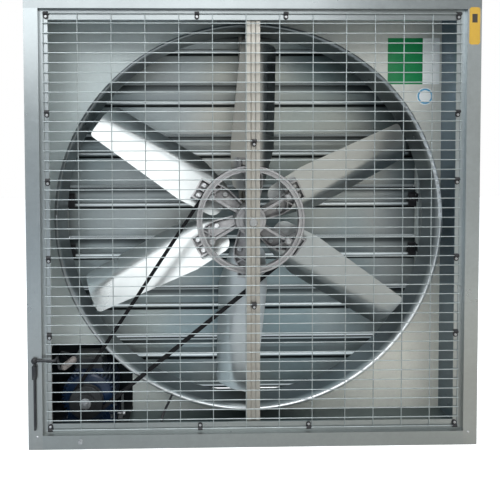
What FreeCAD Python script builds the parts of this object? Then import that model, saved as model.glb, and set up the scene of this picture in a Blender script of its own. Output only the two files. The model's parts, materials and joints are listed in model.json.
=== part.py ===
import FreeCAD, Part
import math
import os
from FreeCAD import Vector as V

# Belt-driven box exhaust fan with a wire guard in front and a louvre shutter behind.
# Units are millimetres. X is to the right seen from the guard side, Y runs from the guard
# side (0) to the shutter side (BOX_D), Z is up from the underside of the box.

# ---- driving dimensions ------------------------------------------------------------------
BOX_W = 1380.0            # outside width
BOX_H = 1380.0            # outside height
BOX_D = 400.0             # outside depth
SHEET = 1.5               # galvanised sheet of the casing
HALF_W = BOX_W / 2
AXIS_Z = BOX_H / 2        # height of the impeller axis

FLANGE = 43.0             # front flange, from the outside
SIDE_LEDGE = 68.0         # inner edge of the guard ledge at the sides, from the outside
CROSS_LEDGE = 73.0        # the same at the top and bottom
STEP = 15.0               # ledge set back behind the front plane
LEDGE_LIP = 6.5           # stiffening return at the ledge's inner edge
REAR_LIP = 25.0           # rear lips of the sides and the top
SILL_LIP = 12.0           # rear lip of the bottom panel
FIX_HOLE_R = 5.5          # wall fixing holes in the side panels
FIX_Y = (60.0, 320.0)
FIX_Z = (340.0, 1040.0)

PLATE_Y = 254.0           # front face of the orifice plate
PLATE_FOLD = 16.0         # depth of its edge folds
RING_R = 625.0            # inside radius of the venturi ring
RING_FRONT = 133.0        # centre of the rolled bead
BEAD_R = 6.5
RING_FLANGE_R = 652.0

WIRE_R = 1.5
GUARD_HALF = 635.0        # guard wires run this far from the centre
WIRE_ROWS = 44
ROW_WIRE_Y = 10.5
COLUMN_WIRE_Y = 13.3
WIDE_GAPS, WIDE_GAP = 9, 102.0
NARROW_GAPS, NARROW_GAP = 4, 88.0

COLUMN_W = 41.0
COLUMN_DEPTH = 38.0
COLUMN_SHEET = 2.5
FRONT_COLUMN_Y = 22.0
REAR_COLUMN_Y = 284.0

AXLE_R = 12.5
AXLE_FRONT = 17.0
AXLE_REAR = 336.0
RUNNING = 0.05            # radial clearance of a running fit
BEARING_R = 26.0          # 6205 size: 25 x 52 x 15
BEARING_W = 15.0
BEARING_YS = (92.0, 190.0)

FAN_PULLEY_R = 175.0
FAN_RING_INNER = 156.0
MOTOR_PULLEY_R = 54.0
PULLEY_FRONT = 95.0
PULLEY_W = 25.0
GROOVE_TOP = 8.75         # half width of the V groove at the rim
GROOVE_DEPTH = 14.5
GROOVE_ANGLE = 18.5
BELT_PROUD = 1.0          # belt back above the rim
BELT_H = 11.0
BELT_GAP = 0.15           # clearance between belt side and groove

HUB_R = 48.0
HUB_FRONT, HUB_REAR = 88.0, 209.0
ARMS = 6
FIRST_ARM = 0.0           # turn of the first arm from straight up
BLADE_TIP_R = 598.0
BLADE_ROOT_R = 92.0
BLADE_SHEET = 2.0
LEAD_PITCH, TRAIL_PITCH = 22.0, 48.0
BLADE_Y_LEAD = 158.0      # front face of the blade at its leading edge
LEAD_T = -61.0            # leading edge across the blade at its widest
BEND_T, BEND_R = 38.0, 90.0
PAD_OUT = 203.0

MOTOR_X = -535.0
MOTOR_Z = 100.0
BASE_TOP = 10.0           # upper face of the motor base plate
MOTOR_CORE_R = 70.0
MOTOR_SKIN_R = 79.0
FIN_R = 88.0
FINS = 40
FRAME_Y0, FRAME_Y1 = 142.0, 262.0
SHAFT_R = 12.0

LOUVRES = 7
LOUVRE_PITCH = 190.0
LOWEST_PIVOT = 167.0
PIVOT_Y = 383.0
LOUVRE_TOP, LOUVRE_BOTTOM = 48.0, -150.0
LOUVRE_HALF = 652.0
LOUVRE_SHEET = 1.2
SPIGOT_R = 4.0
CRANK = 30.0
CRANK_ANGLE = 35.0        # crank points inwards and this much up when closed
ROD_X = 658.0
ROD_R = 2.5
RAIL_X = 664.0

AXIS = V(0, 1, 0)


# ---- helpers -----------------------------------------------------------------------------
def box(x0, x1, y0, y1, z0, z1):
    return Part.makeBox(x1 - x0, y1 - y0, z1 - z0, V(x0, y0, z0))


def rod_y(r, x, z, y0, y1):
    return Part.makeCylinder(r, y1 - y0, V(x, y0, z), V(0, 1, 0))


def rod_x(r, y, z, x0, x1):
    return Part.makeCylinder(r, x1 - x0, V(x0, y, z), V(1, 0, 0))


def rod_z(r, x, y, z0, z1):
    return Part.makeCylinder(r, z1 - z0, V(x, y, z0), V(0, 0, 1))


def tube_y(r_out, r_in, x, z, y0, y1):
    return rod_y(r_out, x, z, y0, y1).cut(rod_y(r_in, x, z, y0 - 1, y1 + 1))


def tube_x(r_out, r_in, y, z, x0, x1):
    return rod_x(r_out, y, z, x0, x1).cut(rod_x(r_in, y, z, x0 - 1, x1 + 1))


def fused(shapes):
    shapes = list(shapes)
    whole = shapes[0].fuse(shapes[1:]) if len(shapes) > 1 else shapes[0]
    return whole.removeSplitter()


def without(shape, cutters):
    return shape.cut(Part.makeCompound(list(cutters)))


def prism(points, at, along, length):
    """Extrude a closed outline. at() turns its 2-D points into space, along is the direction."""
    corners = [at(a, b) for a, b in points]
    face = Part.Face(Part.makePolygon(corners + corners[:1]))
    return face.extrude(along * length)


def prism_x(points, x0, x1):
    return prism(points, lambda y, z: V(x0, y, z), V(1, 0, 0), x1 - x0)


def prism_y(points, y0, y1):
    return prism(points, lambda x, z: V(x, y0, z), V(0, 1, 0), y1 - y0)


def prism_z(points, z0, z1):
    return prism(points, lambda x, y: V(x, y, z0), V(0, 0, 1), z1 - z0)


def folded(path, thickness):
    """Outline of a sheet folded along path; the metal lies to the left of the path."""
    def normal(a, b):
        run = math.hypot(b[0] - a[0], b[1] - a[1])
        return (a[1] - b[1]) / run, (b[0] - a[0]) / run

    normals = [normal(a, b) for a, b in zip(path, path[1:])]
    far = []
    for i, (x, y) in enumerate(path):
        before = normals[max(i - 1, 0)]
        after = normals[min(i, len(normals) - 1)]
        sx, sy = before[0] + after[0], before[1] + after[1]
        scale = 2 * thickness / (sx * sx + sy * sy)
        far.append((x + sx * scale, y + sy * scale))
    return list(path) + far[::-1]


def hexagon(across_flats, x, z, y0, y1):
    r = across_flats / math.sqrt(3)
    points = []
    for k in range(6):
        a = math.radians(60 * k + 30)
        points.append((x + r * math.cos(a), z + r * math.sin(a)))
    return prism_y(points, y0, y1)


def mirrored(shape):
    return shape.mirror(V(0, 0, 0), V(1, 0, 0))


def around_axis(shape, degrees):
    """Turn about the impeller axis, counter-clockwise seen from the guard side."""
    turned = shape.copy()
    turned.rotate(V(0, 0, AXIS_Z), AXIS, -degrees)
    return turned


def ring_of(shape, angles):
    return [around_axis(shape, a) for a in angles]


def revolved(points, x, z):
    """Revolve an outline of (radius, y) about the Y-direction axis through x, z."""
    corners = [V(x + r, y, z) for r, y in points]
    face = Part.Face(Part.makePolygon(corners + corners[:1]))
    return face.revolve(V(x, 0, z), AXIS, 360)


def save(name, *shapes):
    """Write one node. Every shape's solids go in as separate solids."""
    solids = []
    for shape in shapes:
        solids.extend(shape.Solids)
    whole = solids[0] if len(solids) == 1 else Part.makeCompound(solids)
    whole.exportStep(f"parts/{name}.step")
    print(name, len(solids), all(s.isValid() for s in solids))


# ---- casing ------------------------------------------------------------------------------
PLATE_RIVET_R = 2.0
RING_RIVET_R = RING_R + 14
RING_RIVETS = 12
RIVET_AT = (160.0, 425.0, 690.0, 955.0, 1220.0)   # rivet places along each side of the plate
RIVET_Y = PLATE_Y + 10.0
CORNER_RIVET_IN = 27.0    # rivet in the foot of each side flange, from the outside
CORNER_RIVET_Z = 39.0


def fixing_holes():
    side = HALF_W - 5
    return [rod_x(FIX_HOLE_R, y, z, side, HALF_W + 5) for y in FIX_Y for z in FIX_Z]


def right_panel():
    flange_x = HALF_W - FLANGE
    ledge_x = HALF_W - SIDE_LEDGE
    wall = [(HALF_W, 0), (HALF_W, BOX_D), (HALF_W - REAR_LIP, BOX_D)]
    ledge = [(ledge_x, STEP + LEDGE_LIP), (ledge_x, STEP), (flange_x, STEP), (flange_x, 0)]
    full = prism_z(folded(ledge + wall, SHEET), FLANGE, BOX_H - FLANGE)
    foot = prism_z(folded([(flange_x, 0)] + wall, SHEET), 0, FLANGE)
    head = box(HALF_W - SHEET, HALF_W, SHEET, BOX_D, BOX_H - FLANGE, BOX_H - SHEET)
    lip = box(HALF_W - REAR_LIP, HALF_W, BOX_D - SHEET, BOX_D, BOX_H - FLANGE, BOX_H - SHEET)
    rivets = [rod_x(PLATE_RIVET_R, RIVET_Y, z, HALF_W - 5, HALF_W + 5) for z in RIVET_AT]
    rivets.append(rod_y(PLATE_RIVET_R, HALF_W - CORNER_RIVET_IN, CORNER_RIVET_Z, -1, SHEET + 1))
    return without(fused([full, foot, head, lip]), fixing_holes() + rivets)


def left_panel():
    return mirrored(right_panel())


def cross_panel(rear_lip):
    """Bottom panel, or the top one before mirroring: flange, step, ledge, wall, rear lip."""
    half_flange = HALF_W - FLANGE
    half_ledge = HALF_W - SIDE_LEDGE
    flange = box(-half_flange, half_flange, 0, SHEET, 0, FLANGE)
    step = box(-half_flange, half_flange, 0, STEP + SHEET, FLANGE - SHEET, FLANGE)
    ledge = box(-half_ledge, half_ledge, STEP, STEP + SHEET, FLANGE - SHEET, CROSS_LEDGE)
    lip = box(-half_ledge, half_ledge, STEP, STEP + LEDGE_LIP, CROSS_LEDGE - SHEET, CROSS_LEDGE)
    wall = box(-HALF_W + SHEET, HALF_W - SHEET, SHEET, BOX_D - SHEET, 0, SHEET)
    rear = box(REAR_LIP - HALF_W, HALF_W - REAR_LIP, BOX_D - SHEET, BOX_D, 0, rear_lip)
    return without(fused([flange, step, ledge, lip, wall, rear]), column_screw_holes())


def bottom_panel():
    stud = rod_y(STUD_R, EARTH_X, EARTH_Z, -1, SHEET + 1)
    return cross_panel(SILL_LIP).cut(stud)


def top_panel():
    panel = cross_panel(REAR_LIP).mirror(V(0, 0, AXIS_Z), V(0, 0, 1))
    wide_flange = box(-HALF_W, HALF_W, 0, SHEET, BOX_H - FLANGE, BOX_H)
    wide_wall = box(-HALF_W, HALF_W, 0, BOX_D, BOX_H - SHEET, BOX_H)
    rivets = [rod_z(PLATE_RIVET_R, x - HALF_W, RIVET_Y, BOX_H - 5, BOX_H + 1) for x in RIVET_AT]
    feet = [hole.mirror(V(0, 0, AXIS_Z), V(0, 0, 1)) for hole in column_screw_holes()]
    return without(fused([panel, wide_flange, wide_wall]), rivets + feet)


def orifice_plate():
    half = HALF_W - SHEET
    low, high = SHEET, BOX_H - SHEET
    sheet = box(-half, half, PLATE_Y, PLATE_Y + SHEET, low, high)
    folds = [
        box(-half, SHEET - half, PLATE_Y, PLATE_Y + PLATE_FOLD, low, high),
        box(half - SHEET, half, PLATE_Y, PLATE_Y + PLATE_FOLD, low, high),
        box(-half, half, PLATE_Y, PLATE_Y + PLATE_FOLD, low, low + SHEET),
        box(-half, half, PLATE_Y, PLATE_Y + PLATE_FOLD, high - SHEET, high),
    ]
    opening = rod_y(RING_R + SHEET + 0.5, 0, AXIS_Z, PLATE_Y - 1, PLATE_Y + 5)
    corner = box(*MOTOR_CUTOUT_X, PLATE_Y - 1, PLATE_Y + PLATE_FOLD + 1, low - 1, MOTOR_CUTOUT_Z)
    corner = corner.cut(rod_y(RING_FLANGE_R + 6, 0, AXIS_Z, PLATE_Y - 2, PLATE_Y + 30))
    holes = ring_rivets(PLATE_Y - 2, PLATE_Y + 4)
    for at in RIVET_AT:
        holes.append(rod_x(PLATE_RIVET_R, RIVET_Y, at, -HALF_W, HALF_W))
        holes.append(rod_z(PLATE_RIVET_R, at - HALF_W, RIVET_Y, BOX_H - 5, BOX_H))
    return without(fused([sheet] + folds), [opening, corner] + holes)


def ring_rivet_angles():
    return [360 / RING_RIVETS * (k + 0.5) for k in range(RING_RIVETS)]


def ring_rivets(y0, y1):
    post = rod_y(PLATE_RIVET_R, 0, AXIS_Z + RING_RIVET_R, y0, y1)
    return ring_of(post, ring_rivet_angles())


def venturi_ring():
    flange_y = PLATE_Y + SHEET
    tube = tube_y(RING_R + SHEET, RING_R, 0, AXIS_Z, RING_FRONT, flange_y + SHEET)
    flange = tube_y(RING_FLANGE_R, RING_R, 0, AXIS_Z, flange_y, flange_y + SHEET)
    bead = Part.makeTorus(RING_R + SHEET + BEAD_R - 1, BEAD_R, V(0, RING_FRONT, AXIS_Z), AXIS)
    inside = rod_y(RING_R, 0, AXIS_Z, RING_FRONT - 20, RING_FRONT + 20)
    return without(fused([tube, flange, bead.cut(inside)]), ring_rivets(flange_y - 1, flange_y + 4))


def rivet(radius, grip):
    """Pop rivet along +Z: domed head on top of z = 0, shank down through the grip."""
    head_r = radius * 2
    dome = Part.makeSphere(head_r * 1.25, V(0, 0, -head_r * 0.75))
    dome = dome.common(Part.makeBox(40, 40, 20, V(-20, -20, 0)))
    return dome.fuse(Part.makeCylinder(radius, grip, V(0, 0, -grip)))


def placed(shape, point, direction):
    """Move a part built along +Z so that its z = 0 sits at point and +Z points along direction."""
    copy = shape.copy()
    copy.Placement = FreeCAD.Placement(point, FreeCAD.Rotation(V(0, 0, 1), direction))
    return copy


def panel_rivets():
    stub = rivet(PLATE_RIVET_R, 2 * SHEET)
    rivets = []
    for at in RIVET_AT:
        rivets.append(placed(stub, V(at - HALF_W, RIVET_Y, BOX_H), V(0, 0, 1)))
        rivets.append(placed(stub, V(-HALF_W, RIVET_Y, at), V(-1, 0, 0)))
        rivets.append(placed(stub, V(HALF_W, RIVET_Y, at), V(1, 0, 0)))
    for x in (CORNER_RIVET_IN - HALF_W, HALF_W - CORNER_RIVET_IN):
        rivets.append(placed(stub, V(x, 0, CORNER_RIVET_Z), V(0, -1, 0)))
    front = placed(stub, V(0, PLATE_Y, AXIS_Z + RING_RIVET_R), V(0, -1, 0))
    return rivets + ring_of(front, ring_rivet_angles())


# ---- guard -------------------------------------------------------------------------------
CLIP_SCREW_R = 2.0
CLIP_X = 626.0            # clips on the side ledges
CLIP_HALF_W = 7.0
CLIP_NECK = 5.3           # half height of the block behind the wire
CLIP_PAD_R = 7.2
CLIP_SHEET = 3.0
CLIP_DROP = 10.0          # screw this far below the wire that the loop holds
CLIP_LOOP = 2.9           # thickness of the loop round the wire
CLIP_PLAY = 0.1
ROW_GAP = 2 * GUARD_HALF / (WIRE_ROWS - 1)


def row_z(i):
    return AXIS_Z - GUARD_HALF + i * ROW_GAP


def guard_columns():
    xs = [-GUARD_HALF + k * WIDE_GAP for k in range(WIDE_GAPS + 1)]
    return xs + [xs[-1] + (k + 1) * NARROW_GAP for k in range(NARROW_GAPS)]


def guard_mesh():
    rows = [rod_x(WIRE_R, ROW_WIRE_Y, row_z(i), -GUARD_HALF - 2, GUARD_HALF + 2)
            for i in range(WIRE_ROWS)]
    columns = [rod_z(WIRE_R, x, COLUMN_WIRE_Y, AXIS_Z - GUARD_HALF - 3, AXIS_Z + GUARD_HALF + 3)
               for x in guard_columns()]
    return rows[0].fuse(rows[1:] + columns)


def clip_places():
    """Row wire and X of each clip on the ledge, then of the two on the front column."""
    sides = [(row, x) for row in (43, 33, 26, 18, 10, 0) for x in (-CLIP_X, CLIP_X)]
    ends = [(43, -172.0), (43, 98.0), (0, -166.0), (0, 170.0)]
    return [(row, x, STEP) for row, x in sides + ends] + [(row, 2.0, FRONT_COLUMN_Y)
                                                          for row in (30, 13)]


def clip_screw_z(row):
    return row_z(row) - CLIP_DROP if row else row_z(row) + CLIP_DROP


def guard_clip(row, x, seat_y):
    """Loop round one row wire with a flat tail screwed to the sheet behind it."""
    z = row_z(row)
    x0, x1 = x - CLIP_HALF_W, x + CLIP_HALF_W
    loop = tube_x(WIRE_R + CLIP_LOOP, WIRE_R + CLIP_PLAY, ROW_WIRE_Y, z, x0, x1)
    tail_z = clip_screw_z(row)
    low, high = sorted((tail_z, z))
    tail = box(x0, x1, seat_y - CLIP_SHEET, seat_y, low, high)
    pad = rod_y(CLIP_PAD_R, x, tail_z, seat_y - CLIP_SHEET, seat_y)
    neck = box(x0, x1, ROW_WIRE_Y, seat_y, z - CLIP_NECK, z + CLIP_NECK)
    neck = neck.cut(rod_x(WIRE_R + CLIP_PLAY, ROW_WIRE_Y, z, x0 - 1, x1 + 1))
    body = fused([loop, tail, pad, neck])
    return body.cut(rod_y(CLIP_SCREW_R, x, tail_z, seat_y - 10, seat_y + 10))


def pan_screw(radius, length):
    """Pan-head screw along +Z with its head's underside at z = 0."""
    head = Part.makeCylinder(radius * 2, radius * 1.1)
    rim = [e for e in head.Edges if e.BoundBox.ZMin > radius]
    head = head.makeFillet(radius * 0.5, rim)
    slot = Part.makeBox(radius * 5, radius * 0.5, radius, V(-radius * 2.5, -radius * 0.25, radius * 0.7))
    return head.cut(slot).fuse(Part.makeCylinder(radius, length, V(0, 0, -length)))


def guard_fixings():
    clips, screws = [], []
    for row, x, seat_y in clip_places():
        clips.append(guard_clip(row, x, seat_y))
        screw = pan_screw(CLIP_SCREW_R, CLIP_SHEET)
        screws.append(placed(screw, V(x, seat_y - CLIP_SHEET, clip_screw_z(row)), V(0, -1, 0)))
    return clips, screws


# ---- columns and axle --------------------------------------------------------------------
STUD_R = 4.0
FOOT_SHEET = 3.0
FOOT_HALF = 40.0
COLUMN_LIP = 8.0          # inward lips of the channel
RIB_HALF, RIB_SLOPE, RIB_DEEP = 5.0, 4.0, 3.0     # pressed rib along the middle of the web
AXLE_NUT, AXLE_NUT_T = 34.0, 12.0
NUT_GAP = 0.2
EARTH_X, EARTH_Z = -532.0, 24.0


def column_screw_places():
    places = []
    for y0 in (FRONT_COLUMN_Y, REAR_COLUMN_Y):
        places += [(x, y0 + COLUMN_DEPTH / 2) for x in (-30.0, 30.0)]
    return places


def column_screw_holes():
    return [rod_z(STUD_R, x, y, -1, SHEET + FOOT_SHEET + 1) for x, y in column_screw_places()]


def column(front_y, web_in_front):
    """Channel with its web towards the outside of the fan and a foot plate at each end."""
    half = COLUMN_W / 2
    back_y = front_y + COLUMN_DEPTH
    low, high = SHEET, BOX_H - SHEET
    outer = [(-half, back_y), (-half, front_y), (half, front_y), (half, back_y)]
    lips = [(-half + COLUMN_LIP, back_y)] + outer + [(half - COLUMN_LIP, back_y)]
    edge, floor = RIB_HALF + RIB_SLOPE, front_y + RIB_DEEP
    rib = [(-edge, front_y), (-RIB_HALF, floor), (RIB_HALF, floor), (edge, front_y)]
    ribbed = lips[:3] + rib + lips[3:]
    channel = prism_z(folded(ribbed, COLUMN_SHEET), low, high)
    if not web_in_front:
        channel = channel.mirror(V(0, front_y + COLUMN_DEPTH / 2, 0), V(0, 1, 0))
    foot = box(-FOOT_HALF, FOOT_HALF, front_y, back_y, low, low + FOOT_SHEET)
    feet = [foot, foot.mirror(V(0, 0, AXIS_Z), V(0, 0, 1))]
    body = fused([channel] + feet)
    holes = column_screw_holes()
    holes += [h.mirror(V(0, 0, AXIS_Z), V(0, 0, 1)) for h in holes]
    holes.append(rod_y(AXLE_R + 0.1, 0, AXIS_Z, front_y - 1, back_y + 1))
    return without(body, holes)


def axle():
    bar = rod_y(AXLE_R, 0, AXIS_Z, AXLE_FRONT, AXLE_REAR)
    ends = [e for e in bar.Edges if abs(e.Length - 2 * math.pi * AXLE_R) < 0.1]
    return bar.makeChamfer(1.2, ends)


def axle_nuts():
    """One nut each side of the rear column's web and one behind the front column's web."""
    front_web = FRONT_COLUMN_Y + RIB_DEEP + COLUMN_SHEET
    rear_web = REAR_COLUMN_Y + COLUMN_DEPTH
    inner_web = rear_web - RIB_DEEP - COLUMN_SHEET
    starts = [front_web + NUT_GAP, rear_web + NUT_GAP, inner_web - NUT_GAP - AXLE_NUT_T]
    nuts = []
    for y0 in starts:
        y1 = y0 + AXLE_NUT_T
        nut = hexagon(AXLE_NUT, 0, AXIS_Z, y0, y1)
        nuts.append(nut.cut(rod_y(AXLE_R + 0.02, 0, AXIS_Z, y0 - 1, y1 + 1)))
    return nuts


BALL_R = 3.95
BALL_PITCH_R = 19.25
BALLS = 9
RACE_T = 4.0              # thickness of the bearing rings
SEAL_T = 1.2


def bearing_inner_rings():
    race = AXLE_R + RACE_T
    rings = []
    for y in BEARING_YS:
        body = tube_y(race, AXLE_R + 0.01, 0, AXIS_Z, y, y + BEARING_W)
        track = Part.makeTorus(BALL_PITCH_R, BALL_R + 0.1, V(0, y + BEARING_W / 2, AXIS_Z), AXIS)
        rings.append(body.cut(track))
    spacer_y0, spacer_y1 = BEARING_YS[0] + BEARING_W, BEARING_YS[1]
    rings.append(tube_y(race, AXLE_R + 0.01, 0, AXIS_Z, spacer_y0 + 0.1, spacer_y1 - 0.1))
    return rings


def bearing_outer_sets():
    """Outer rings with their seals and balls, which travel with the hub."""
    solids = []
    for y in BEARING_YS:
        body = tube_y(BEARING_R - 0.01, BEARING_R - RACE_T, 0, AXIS_Z, y, y + BEARING_W)
        track = Part.makeTorus(BALL_PITCH_R, BALL_R + 0.1, V(0, y + BEARING_W / 2, AXIS_Z), AXIS)
        solids.append(body.cut(track))
        for seal_y in (y + 0.5, y + BEARING_W - 0.5 - SEAL_T):
            seal = tube_y(BEARING_R - RACE_T - 0.02, AXLE_R + RACE_T + 0.3, 0, AXIS_Z, seal_y,
                          seal_y + SEAL_T)
            solids.append(seal)
        for k in range(BALLS):
            a = math.radians(360 / BALLS * k)
            centre = V(BALL_PITCH_R * math.cos(a), y + BEARING_W / 2,
                       AXIS_Z + BALL_PITCH_R * math.sin(a))
            solids.append(Part.makeSphere(BALL_R, centre))
    return solids


# ---- impeller ----------------------------------------------------------------------------
def groove_points(rim_r):
    """Pulley rim outline in (radius, y) with one V groove, from the front to the back."""
    slope = math.tan(math.radians(GROOVE_ANGLE))
    mid = PULLEY_FRONT + PULLEY_W / 2
    bottom = GROOVE_TOP - GROOVE_DEPTH * slope
    return [
        (rim_r - 1, PULLEY_FRONT), (rim_r, PULLEY_FRONT + 1),
        (rim_r, mid - GROOVE_TOP), (rim_r - GROOVE_DEPTH, mid - bottom),
        (rim_r - GROOVE_DEPTH, mid + bottom), (rim_r, mid + GROOVE_TOP),
        (rim_r, PULLEY_FRONT + PULLEY_W - 1), (rim_r - 1, PULLEY_FRONT + PULLEY_W),
    ]


LUG_R = 144.0             # radius of the pulley bolts
LUG_BACK = PULLEY_FRONT + PULLEY_W
LUG_HALF, LUG_T = 11.0, 10.0      # half width and thickness of the pulley's lugs
FACE_RECESS = 2.5         # turned recess in the front face of the ring


def fan_pulley():
    inner = FAN_RING_INNER
    face = [(inner, PULLEY_FRONT), (inner + 5, PULLEY_FRONT), (inner + 6, PULLEY_FRONT + FACE_RECESS),
            (inner + 11, PULLEY_FRONT + FACE_RECESS), (inner + 12, PULLEY_FRONT)]
    outline = face + groove_points(FAN_PULLEY_R) + [(inner, PULLEY_FRONT + PULLEY_W)]
    rim = revolved(outline, 0, AXIS_Z)
    lug = rod_y(LUG_HALF, 0, AXIS_Z + LUG_R, LUG_BACK - LUG_T, LUG_BACK)
    lug = lug.fuse(box(-LUG_HALF, LUG_HALF, LUG_BACK - LUG_T, LUG_BACK, AXIS_Z + LUG_R,
                       AXIS_Z + inner + 1))
    hole = rod_y(STUD_R + 0.2, 0, AXIS_Z + LUG_R, LUG_BACK - 20, LUG_BACK + 1)
    body = fused([rim] + ring_of(lug, arm_angles()))
    return without(body, ring_of(hole, arm_angles()))


def arm_angles():
    return [FIRST_ARM + 360 / ARMS * k for k in range(ARMS)]


def blade_front_y(t):
    """Depth of the blade's front face at distance t across it, on the flat leading part."""
    return BLADE_Y_LEAD + (t - LEAD_T) * math.tan(math.radians(LEAD_PITCH))


def on_pad(shape):
    """Tilt a part built flat (front = -Y, radius = Z) onto the leading part of a blade."""
    move = FreeCAD.Placement(V(0, blade_front_y(0), AXIS_Z), FreeCAD.Rotation(V(0, 0, 1), LEAD_PITCH))
    copy = shape.copy()
    copy.Placement = move.multiply(copy.Placement)
    return copy


PAD_T0, PAD_T1 = -42.0, 33.0      # across the pad outside the pulley ring
ARM_T0, ARM_T1 = -16.0, 46.0      # across the arm inside it
PAD_R, ARM_R = 160.0, 146.0       # the pad starts and the arm ends at these radii
PAD_PLATE = 7.0
PAD_RIB = 20.0
PAD_BOSS = 5.0
RIB_T = 5.0
BLADE_BOLTS = [(26.0, 106.0), (-24.0, 184.0), (16.0, 184.0)]


def pad_outline(inset):
    """Arm and pad in (across, radius): the arm leaves the blade's leading root corner free."""
    return [(-8 + inset, 42), (28 - inset, 42), (ARM_T1 - inset, 104), (ARM_T1 - inset, ARM_R - 6),
            (PAD_T1 - inset, PAD_R), (PAD_T1 - inset, PAD_OUT - inset),
            (PAD_T0 + inset, PAD_OUT - inset), (PAD_T0 + inset, PAD_R + inset),
            (ARM_T0 + inset, ARM_R + inset)]


def flat_prism(points, y0, y1):
    return prism(points, lambda t, r: V(t, y0, r), V(0, 1, 0), y1 - y0)


def arm_pad():
    """Ribbed cast pad that carries one blade, built flat in (across, depth, radius)."""
    plate = flat_prism(pad_outline(0), -PAD_PLATE, -0.02)
    rim = flat_prism(pad_outline(0), -PAD_RIB, -PAD_PLATE + 1)
    rim = rim.cut(flat_prism(pad_outline(RIB_T), -PAD_RIB - 1, -PAD_PLATE))
    inside = flat_prism(pad_outline(1), -PAD_RIB + 2, -PAD_PLATE + 1)
    bars = []
    for t0, r0, t1, r1 in ((ARM_T0, 124, ARM_T1, 158), (ARM_T1, 124, ARM_T0, 158),
                           (PAD_T0, 168, PAD_T1, 168), (0, 45, -4, PAD_OUT)):
        run = math.hypot(t1 - t0, r1 - r0)
        dt, dr = (r1 - r0) / run * RIB_T / 2, (t0 - t1) / run * RIB_T / 2
        corners = [(t0 - dt, r0 - dr), (t1 - dt, r1 - dr), (t1 + dt, r1 + dr), (t0 + dt, r0 + dr)]
        bars.append(flat_prism(corners, -PAD_RIB, -PAD_PLATE + 1).common(inside))
    boss_front = PAD_PLATE + PAD_BOSS
    bosses = [rod_y(8.5, t, r, -boss_front, -0.02) for t, r in BLADE_BOLTS]
    return fused([plate, rim] + bars + bosses)


def pad_bolt_holes():
    return [rod_y(STUD_R, t, r, -50, 30) for t, r in BLADE_BOLTS]


def hub_casting():
    boss = rod_y(HUB_R, 0, AXIS_Z, HUB_FRONT, HUB_REAR)
    collar = rod_y(HUB_R - 10, 0, AXIS_Z, HUB_FRONT - 4, HUB_FRONT + 1)
    arm = on_pad(without(arm_pad(), pad_bolt_holes()))
    post = rod_y(10.0, 0, AXIS_Z + LUG_R, LUG_BACK + 0.02, blade_front_y(-10.0) - 2)
    web = box(-4, 4, LUG_BACK + 12, blade_front_y(0) - 12, AXIS_Z + 40, AXIS_Z + LUG_R)
    body = fused([boss, collar] + ring_of(arm, arm_angles()) + ring_of(post, arm_angles())
                 + ring_of(web, arm_angles()))
    cores = [rod_y(AXLE_R + 7, 0, AXIS_Z, HUB_FRONT - 10, HUB_REAR + 10)]
    cores.append(rod_y(BEARING_R, 0, AXIS_Z, HUB_FRONT - 10, BEARING_YS[0] + BEARING_W))
    cores.append(rod_y(BEARING_R, 0, AXIS_Z, BEARING_YS[1], HUB_REAR + 10))
    cores += ring_of(rod_y(STUD_R, 0, AXIS_Z + LUG_R, LUG_BACK - 1, LUG_BACK + 30), arm_angles())
    return without(body, cores)


def rounded_planform():
    """Block with the blade's outline seen from the front, its corners rounded."""
    points = [(-54, BLADE_ROOT_R), (52, BLADE_ROOT_R), (97, 235), (107, 640), (-18, 640),
              (LEAD_T, 235)]
    block = flat_prism(points, BLADE_Y_LEAD - 40, BLADE_Y_LEAD + 140)
    block = block.common(Part.makeCylinder(BLADE_TIP_R, 400, V(0, 0, 0), AXIS))

    def corner_edges(solid, low, high):
        return [e for e in solid.Edges if e.BoundBox.YLength > 100
                and low < e.BoundBox.ZMin and e.BoundBox.ZMax < high]

    block = block.makeFillet(34, corner_edges(block, 0, BLADE_ROOT_R + 1))
    return block.makeFillet(16, corner_edges(block, BLADE_TIP_R - 30, BLADE_TIP_R + 1))


def blade():
    """Cambered sheet: flat leading part, a bend, then a steeper trailing part."""
    lead, trail = math.radians(LEAD_PITCH), math.radians(TRAIL_PITCH)
    bend = blade_front_y(BEND_T)
    start = (-80.0, blade_front_y(-80.0))
    centre = (BEND_T - BEND_R * math.sin(lead), bend + BEND_R * math.cos(lead))

    def on_bend(angle, radius):
        return centre[0] + radius * math.sin(angle), centre[1] - radius * math.cos(angle)

    def side(gap):
        """The section line at a distance behind the front face: points for line, arc, line."""
        radius = BEND_R - gap
        shift = (-gap * math.sin(lead), gap * math.cos(lead))
        first = (start[0] + shift[0], start[1] + shift[1])
        a, m, b = (on_bend(ang, radius) for ang in (lead, (lead + trail) / 2, trail))
        last = (b[0] + 70 * math.cos(trail), b[1] + 70 * math.sin(trail))
        return [V(p[0], p[1], 0) for p in (first, a, m, b, last)]

    front, back = side(0.0), side(BLADE_SHEET)
    edges = []
    for pts in (front, back):
        edges.append(Part.makeLine(pts[0], pts[1]))
        edges.append(Part.Arc(pts[1], pts[2], pts[3]).toShape())
        edges.append(Part.makeLine(pts[3], pts[4]))
    edges.append(Part.makeLine(front[0], back[0]))
    edges.append(Part.makeLine(front[4], back[4]))
    section = Part.Face(Part.Wire(Part.__sortEdges__(edges)))
    strip = section.extrude(V(0, 0, 640))
    flat = strip.common(rounded_planform())
    flat.translate(V(0, 0, AXIS_Z))
    holes = Part.makeCompound(pad_bolt_holes())
    return flat.cut(on_pad(holes))


def hex_bolt(radius, grip):
    """Hexagon bolt along +Z: washer and head above z = 0, shank below."""
    washer = Part.makeCylinder(radius * 2, 1.5)
    head = hexagon(radius * 3.2, 0, 0, 0, radius * 1.3)
    head.rotate(V(0, 0, 0), V(1, 0, 0), 90)
    head.translate(V(0, 0, 1.5))
    shank = Part.makeCylinder(radius, grip + 1, V(0, 0, -grip))
    return fused([washer, head, shank])


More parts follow.
